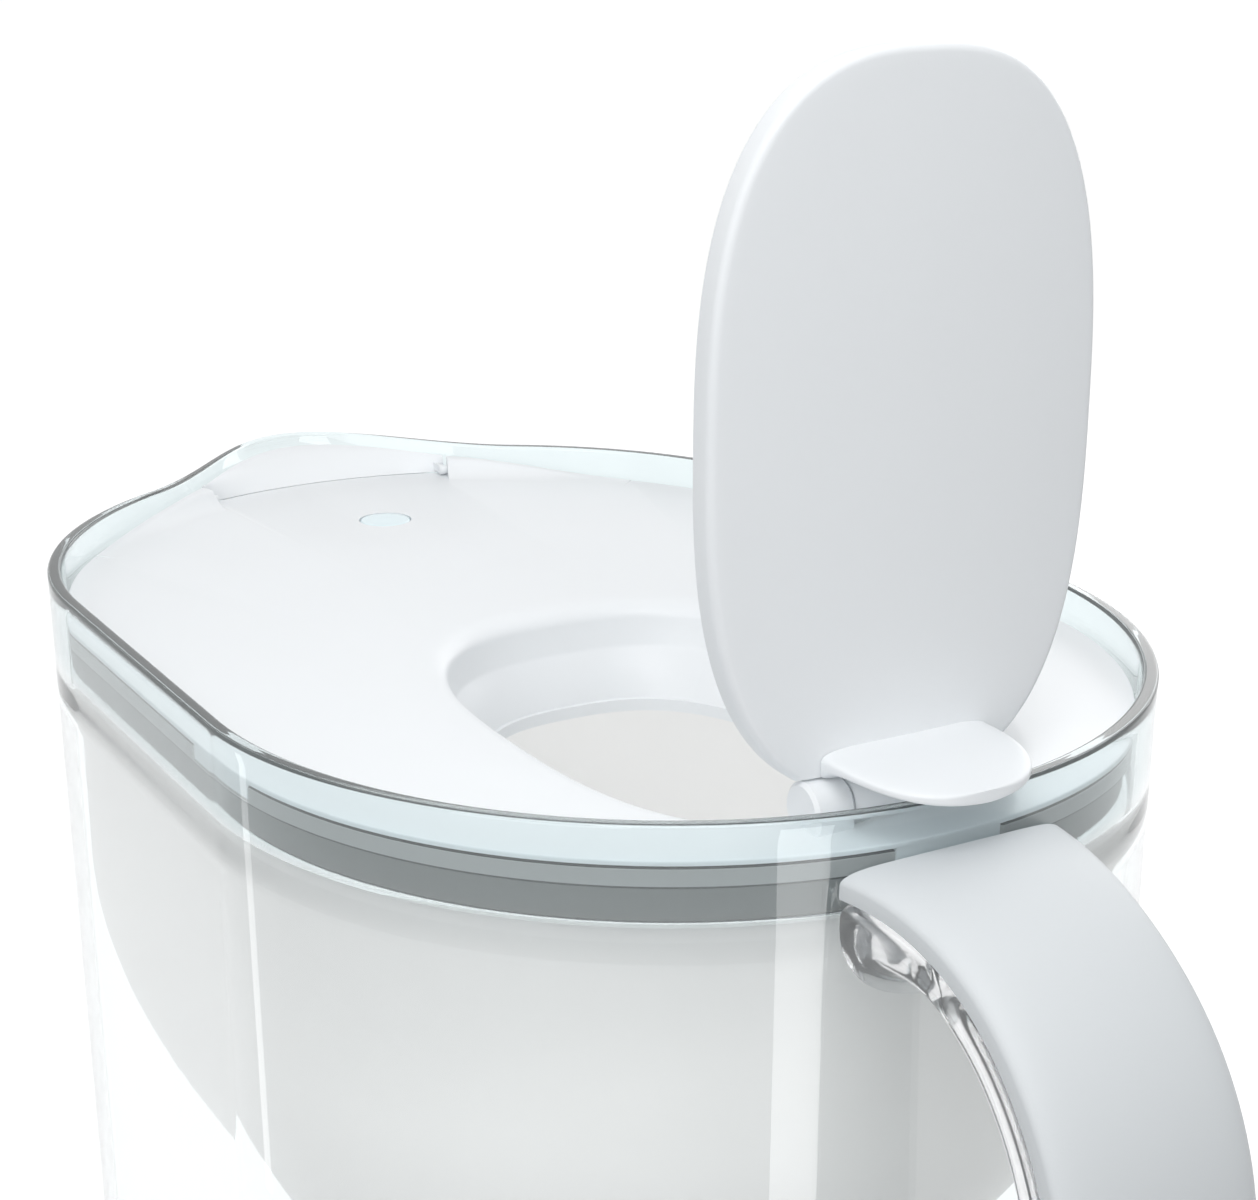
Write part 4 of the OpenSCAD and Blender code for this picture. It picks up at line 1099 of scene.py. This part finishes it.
class JUG_OT_flip_lid(bpy.types.Operator):
    """Filling cover with its thumb tab, barrel and pins"""

    bl_idname = "jug.flip_lid"
    bl_label = "Flip lid"

    def execute(self, context):
        looks = context.scene.jug_looks
        jug, lid, flip = looks.jug, looks.lid, looks.flip
        hinge_z = jug.height - flip.hinge_drop
        middle = hinge_z + flip.half_l
        face = flip.hinge_x + flip.face_in_front
        n = 192

        def ring(inset, back):
            e = 2 / lid.squareness
            points = []
            for a in turns(n):
                y = (flip.half_w - inset) * power(math.sin(a), e)
                z = (flip.half_l - inset) * power(math.cos(a), e)
                points.append((face - back - flip.crown * (y / flip.half_w) ** 2, y, middle + z))
            return points

        w = flip.half_w
        rings = [ring(w * s, 0) for s in (0.98, 0.9, 0.8, 0.65, 0.5, 0.38, 0.28, 0.2, 0.13, 0.08)]
        rings += [ring(0.0011 * (1 - math.sin(a)), 0.0011 * (1 - math.cos(a))) for a in arc(0, 90, 8)]
        rings += [ring(0.0005 * (1 - math.cos(a)), flip.edge - 0.0005 * (1 - math.sin(a))) for a in arc(0, 90, 4)]
        t = flip.face_t
        rings += [ring(t - 0.0004, flip.edge), ring(t, flip.edge - 0.0004), ring(t, t + 0.0008), ring(t + 0.0008, t)]
        rings += [ring(w * s, t) for s in (0.2, 0.35, 0.5, 0.7, 0.9, 0.98)]
        obj = loft("flip_lid_shell", rings, sharp=45)
        combine(obj, self.thumb(jug, flip), "UNION", 45)
        barrel = rod_y("barrel", flip.barrel_r, flip.hinge_x, hinge_z, -flip.barrel_half, flip.barrel_half, 0.0003)
        combine(obj, barrel, "UNION", 45)
        for side in (-1, 1):
            ends = sorted((side * flip.barrel_half, side * (flip.barrel_half + flip.lug_t + 0.0008)))
            notch = rod_y("notch", flip.lug_r + 0.00035, flip.hinge_x, hinge_z, *ends, 0)
            combine(obj, notch, "DIFFERENCE", 45)
            low = (flip.hinge_x - flip.lug_r - 0.003, ends[0], hinge_z - flip.lug_r)
            high = (flip.hinge_x, ends[1], hinge_z + flip.lug_r - 0.0003)
            combine(obj, block("post", low, high, 0), "DIFFERENCE", 45)
        span = flip.barrel_half + flip.pin_l
        combine(obj, rod_y("pin", flip.pin_r, flip.hinge_x, hinge_z, -span, span, 0.0002), "UNION", 45)
        dress(obj, material("Lid white"), "filling_flap", ["flip_lid"])
        return {"FINISHED"}

    def thumb(self, jug, flip):
        """Thumb tab, thick at its root and rounded at its edge"""
        rings = []
        for k in range(41):
            t = 0.02 + 0.979 * math.sin(k / 40 * math.pi / 2)
            half = flip.thumb_half * (1 - t**2.6) ** (1 / 2.6)
            root = (1 - t) ** 9
            thick = min(flip.thumb_t + 0.0003 * (1 - t) + 0.003 * root, 2 * half + 0.0002)
            top = jug.height + 0.0037 - 0.0014 * t * t + 0.0006 * root
            x = flip.hinge_x + flip.thumb_reach * t
            rings.append([
                (x, half * power(math.cos(a), 0.35), top - thick / 2 + thick / 2 * power(math.sin(a), 0.5))
                for a in turns(64)
            ])
        return loft("thumb", rings, sharp=60)


class JUG_OT_spout_flap(bpy.types.Operator):
    """Flap in the beak"""

    bl_idname = "jug.spout_flap"
    bl_label = "Spout flap"

    def execute(self, context):
        looks = context.scene.jug_looks
        jug, lid, flap = looks.jug, looks.lid, looks.flap
        z = plate_z(jug, lid)
        steps = [k / 12 for k in range(13)]
        rings = []
        for k in range(49):
            y = mix(flap.half, -flap.half, k / 48)
            share = (y / flap.half) ** 2
            thick = mix(flap.thick, flap.side_t, share)
            x0 = edge_x(jug, lid, y) - flap.gap
            wall = -jug.half_span - math.sqrt((jug_r(jug, z) - jug.wall) ** 2 - y * y)
            wall -= beak_at(jug, jug.height - 0.002) * beak_bump(jug, y)
            run = min(wall + 0.0009 + thick * share, x0 - 0.0002) - x0
            rise = mix(flap.rise, flap.collar_rise, share)
            face, back = [], []
            for u in steps:
                p = Vector((x0 + run * u, z + rise * (1 - (1 - u) ** 1.6)))
                slope = rise * 1.6 * (1 - min(u, 0.9)) ** 0.6
                face.append(p)
                back.append(p + thick * Vector((-slope, run)).normalized())
            rings.append([(p.x, y, p.y) for p in face] + [(p.x, y, p.y) for p in reversed(back)])
        obj = loft("spout_flap_skin", rings, sharp=50)
        hinge_x, hinge_z = flap_hinge(jug, lid, flap)
        arm = edge_x(jug, lid, flap.half - 0.0008) - flap.gap - 0.0006
        for side in (-1, 1):
            hub = sorted((side * (flap.half - 0.002), side * (flap.half + 0.0001)))
            combine(obj, rod_y("hub", flap.pin_r + 0.0001, hinge_x, hinge_z, *hub, 0.0001), "UNION", 50)
            pin = sorted((side * (flap.half - FLAP_PIN_IN), side * (flap.half + SEAM_GAP + flap.pin_l)))
            combine(obj, rod_y("pin", flap.pin_r, hinge_x, hinge_z, *pin, 0.0001), "UNION", 50)
            y = side * (flap.half - FLAP_PIN_IN)
            web = block("web", (arm, y - 0.0005, hinge_z - 0.00065), (hinge_x, y + 0.0005, hinge_z + 0.0008), 0)
            combine(obj, web, "UNION", 50)
        dress(obj, material("Lid white"), "spout", ["spout_flap"])
        return {"FINISHED"}


class JUG_OT_indicator(bpy.types.Operator):
    """Filter change indicator: its lens button and what is in the case below"""

    bl_idname = "jug.indicator"
    bl_label = "Indicator"

    def execute(self, context):
        looks = context.scene.jug_looks
        eye, lid = looks.indicator, looks.lid
        z = plate_z(looks.jug, lid)
        flange = z - lid.plate_t - 0.0014
        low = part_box("indicator_button")[0][2]
        profile = [(0.0014, low), (0.0014, flange - 0.0008), (eye.lens_r + 0.0012, flange - 0.0008)]
        profile += [(eye.lens_r + 0.0012, flange), (eye.lens_r, flange)]
        profile += [
            (eye.lens_r - 0.0005 * (1 - math.cos(a)), z - 0.0005 + 0.0005 * math.sin(a)) for a in arc(0, 90, 6)
        ]
        profile += [(eye.lens_r * s, z + 0.00015 * (1 - s)) for s in (0.7, 0.4, 0)]
        button = lathe("indicator_lens", profile, False, eye.x, 128)
        dress(button, material("Lens"), "button", ["indicator_button"])
        paint_nodes({
            "indicator_housing": "Housing grey", "housing_cover": "Housing grey", "housing_seal": "Seal",
            "circuit_board": "Board", "tact_switch": "Switch", "indicator_led": "Light", "coin_cell": "Cell steel",
            "cell_clip": "Clip metal",
        })
        return {"FINISHED"}


class JUG_OT_cartridge(bpy.types.Operator):
    """Filter cartridge with its ribbed shell, slotted cap and pull ring"""

    bl_idname = "jug.cartridge"
    bl_label = "Cartridge"

    def execute(self, context):
        ring_group()
        sizes = context.scene.jug_looks.cartridge
        self.shell(sizes)
        self.cap(sizes)
        self.pull_ring(sizes)
        paint_nodes({
            "inlet_screen": "Screen", "outlet_screen": "Screen", "filter_media": "Granules", "seat_seal": "Seal",
        })
        return {"FINISHED"}

    def shell(self, sizes):
        low, high = sizes.seat_z - sizes.depth, sizes.flange_z
        top, edge = high + 0.002, 0.0008
        inner, flange = sizes.top_r - sizes.wall, sizes.flange_r
        profile = [(0, low + sizes.wall), (sizes.foot_r - sizes.wall, low + sizes.wall), (inner, high)]
        profile += [(inner, top - 0.0003), (inner + 0.0003, top), (flange - 0.0005, top), (flange, top - 0.0005)]
        profile += [(flange, high + 0.0005), (flange - 0.0005, high), (sizes.top_r + 0.0006, high)]
        profile += [(sizes.top_r, high - 0.0006), (sizes.foot_r + 0.0001, low + edge)]
        profile += [(sizes.foot_r - edge * (1 - math.sin(a)), low + edge * (1 - math.cos(a))) for a in arc(60, 0, 4)]
        profile += [(0, low)]
        shell = lathe("cartridge_shell_skin", profile, False, n=144)
        finish = material("Cartridge white")
        slot = block("slot", (sizes.foot_r * 0.35, -0.001, low - 0.001), (sizes.foot_r * 0.8, 0.001, low + 0.003), 0)
        combine(shell, repeat(slot, sizes.slots, 0, finish), "DIFFERENCE", 40)
        foot, head = low + 0.012, high - 0.018
        lean = (sizes.top_r - sizes.foot_r) / (high - low)
        section = [(-0.0002, -0.0006), (0.0003, -0.0003), (0.0003, 0.0003), (-0.0002, 0.0006)]
        rings = []
        for z, grow in ((foot, 0.2), (foot + 0.0008, 1), (head - 0.0008, 1), (head, 0.2)):
            r = sizes.foot_r + lean * (z - low)
            rings.append([(r + u * grow, v * grow, z) for u, v in section])
        ribs = repeat(loft("rib", rings, sharp=60), sizes.ribs, 0.5, finish)
        dress(join([shell, ribs], "cartridge_shell_skin"), finish, "jug", ["cartridge_shell"])

    def cap(self, sizes):
        z = sizes.flange_z + CAP_LIFT
        r, h, t = sizes.top_r - 0.0005, sizes.cap_h, 0.0016
        rim = sizes.flange_r - 0.001
        pad = sizes.ring_r + 0.003
        profile = [(0, z + h - t)] + [((r - t) * math.cos(a), z + (h - t) * math.sin(a)) for a in arc(88, 8, 20)]
        profile += [(r - t, z), (rim, z), (rim, z + t - 0.0003), (rim - 0.0003, z + t)]
        profile += [(r + 0.0006, z + t), (r, z + t + 0.0006)]
        dome = [(r * math.cos(a), z + h * math.sin(a)) for a in arc(9, 88, 24)]
        profile += [p for p in dome if p[0] > pad + 0.0003]
        profile += [(pad, z + h * math.sin(math.acos((pad + 0.0003) / r)) + 0.0003), (pad, z + h - 0.0003)]
        profile += [(pad - 0.0004, z + h + 0.0001), (0, z + h + 0.0001)]
        cap = lathe("cartridge_cap_skin", profile, False, n=144)
        finish = material("Cartridge white")
        window = block("window", (r * 0.55, -0.0012, z + 0.005), (r * 1.2, 0.0012, z + 0.005 + h * 0.45), 0.0005)
        combine(cap, repeat(window, sizes.slots, 0.5, finish), "DIFFERENCE", 40)
        dress(cap, finish, "jug", ["cartridge_cap"])

    def pull_ring(self, sizes):
        z = sizes.flange_z + CAP_LIFT + sizes.cap_h + 0.0002
        rings = []
        for k in range(49):
            a = math.pi * k / 48
            ring = []
            for b in turns(24):
                out = sizes.ring_r + 0.0015 * math.cos(b)
                ring.append((out * math.cos(a), 0.0015 * math.sin(b), z + out * math.sin(a)))
            rings.append(ring)
        obj = loft("pull_ring_skin", rings, sharp=60)
        dress(obj, material("Cartridge white"), "jug", ["pull_ring"])


def paint_nodes(finishes):
    """Gives CAD nodes a finish of their own"""
    for node, name in finishes.items():
        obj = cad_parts[node]
        obj.data.materials.clear()
        obj.data.materials.append(material(name))


FLOOR_GAP = 0.0002


class JUG_OT_stage(bpy.types.Operator):
    """Floor, world, lamps and camera"""

    bl_idname = "jug.stage"
    bl_label = "Stage"

    def execute(self, context):
        stage = context.scene.jug_looks.stage
        self.floor(stage)
        self.world(stage)
        # name, place, aim, width, height, watts
        self.lamp("Top", (-0.15, -0.1, 1.3), (0, 0, 0.25), 1.6, 1.4, 4.4)
        self.lamp("Key", (0.7, -1.05, 0.7), (0, 0, 0.2), 0.9, 0.9, 4.5)
        self.lamp("Back", (-0.6, 1.1, 0.7), (0, 0, 0.2), 0.9, 0.9, 4)
        self.lamp("Near", (0.33, -0.12, 0.64), (0.12, 0, 0.27), 0.30, 0.30, 0.9)
        self.streak("Streak", (-0.194, -0.255, 0.08), 0.016, 0.15, 0.011)
        self.streak("Soft streak", (0.40, -0.02, 0.08), 0.070, 0.16, 0.12)
        self.camera(stage)
        bpy.context.scene.view_settings.view_transform = "Standard"
        return {"FINISHED"}

    def floor(self, stage):
        half = stage.floor
        corners = [(-half, -half, 0), (half, -half, 0), (half, half, 0), (-half, half, 0)]
        floor = new_mesh("floor", corners, [(0, 1, 2, 3)])
        floor.location.z = -FLOOR_GAP
        finish, tree, shader = new_material("Floor")
        feed(tree, shader.inputs["Base Color"], (0.42, 0.424, 0.428, 1))
        feed(tree, shader.inputs["Roughness"], 0.8)
        feed(tree, shader.inputs["Emission Color"], (1, 1, 1, 1))
        glow = maths(tree, "MULTIPLY", seen_by_eye(tree), stage.floor_glow)
        feed(tree, shader.inputs["Emission Strength"], glow)
        floor.data.materials.append(finish)

    def world(self, stage):
        world = bpy.data.worlds.new("Studio")
        bpy.context.scene.world = world
        world.use_nodes = True
        tree = world.node_tree
        back = tree.nodes["Background"].inputs
        feed(tree, back["Color"], (1, 1, 1, 1))
        feed(tree, back["Strength"], maths(tree, "MULTIPLY_ADD", seen_by_eye(tree), 1 - stage.sky, stage.sky))

    def aimed(self, obj, place, aim):
        obj.location = place
        obj.rotation_euler = (Vector(aim) - Vector(place)).to_track_quat("-Z", "Y").to_euler()
        return obj

    def lamp(self, name, place, aim, width, height, watts):
        data = bpy.data.lights.new(name, "AREA")
        data.shape = "RECTANGLE"
        data.size, data.size_y, data.energy = width, height, watts
        lamp = self.aimed(linked(name, data), place, aim)
        lamp.visible_camera = lamp.visible_transmission = False
        return lamp

    def streak(self, name, place, width, height, watts):
        """Upright strip that only shows as a streak on glossy walls"""
        lamp = self.lamp(name, place, (0, 0, place[2]), width, height, watts)
        lamp.visible_diffuse = False
        return lamp

    def camera(self, stage):
        data = bpy.data.cameras.new("Camera")
        data.lens, data.sensor_width, data.sensor_fit = stage.lens, 36, "HORIZONTAL"
        data.clip_start, data.clip_end = 0.01, 20
        bpy.context.scene.camera = self.aimed(linked("Camera", data), stage.eye, stage.aim)


class JUG_PT_panel(bpy.types.Panel):
    """Builds the jug piece by piece"""

    bl_label = "Water filter jug"
    bl_idname = "JUG_PT_panel"
    bl_space_type = "VIEW_3D"
    bl_region_type = "UI"
    bl_category = "Jug"

    def draw(self, context):
        for operator in OPERATORS:
            self.layout.operator(operator.bl_idname)
        looks = context.scene.jug_looks
        for name in GROUPS:
            box = self.layout.box()
            box.label(text=name.capitalize())
            group = getattr(looks, name)
            for key in group.__annotations__:
                box.prop(group, key)


OPERATORS = (
    JUG_OT_finishes, JUG_OT_body, JUG_OT_core, JUG_OT_grip, JUG_OT_hopper, JUG_OT_lid_plate, JUG_OT_flip_lid,
    JUG_OT_spout_flap, JUG_OT_indicator, JUG_OT_cartridge, JUG_OT_stage,
)
CLASSES = (*GROUPS.values(), JugLooks, *OPERATORS, JUG_PT_panel)

JugLooks.__annotations__ = {name: PointerProperty(type=group) for name, group in GROUPS.items()}


def register():
    for cls in CLASSES:
        bpy.utils.register_class(cls)
    bpy.types.Scene.jug_looks = PointerProperty(type=JugLooks)


def unregister():
    del bpy.types.Scene.jug_looks
    for cls in reversed(CLASSES):
        bpy.utils.unregister_class(cls)


def main():
    register()
    for operator in OPERATORS:
        getattr(bpy.ops.jug, operator.bl_idname.split(".")[1])()


if __name__ == "__main__":
    main()
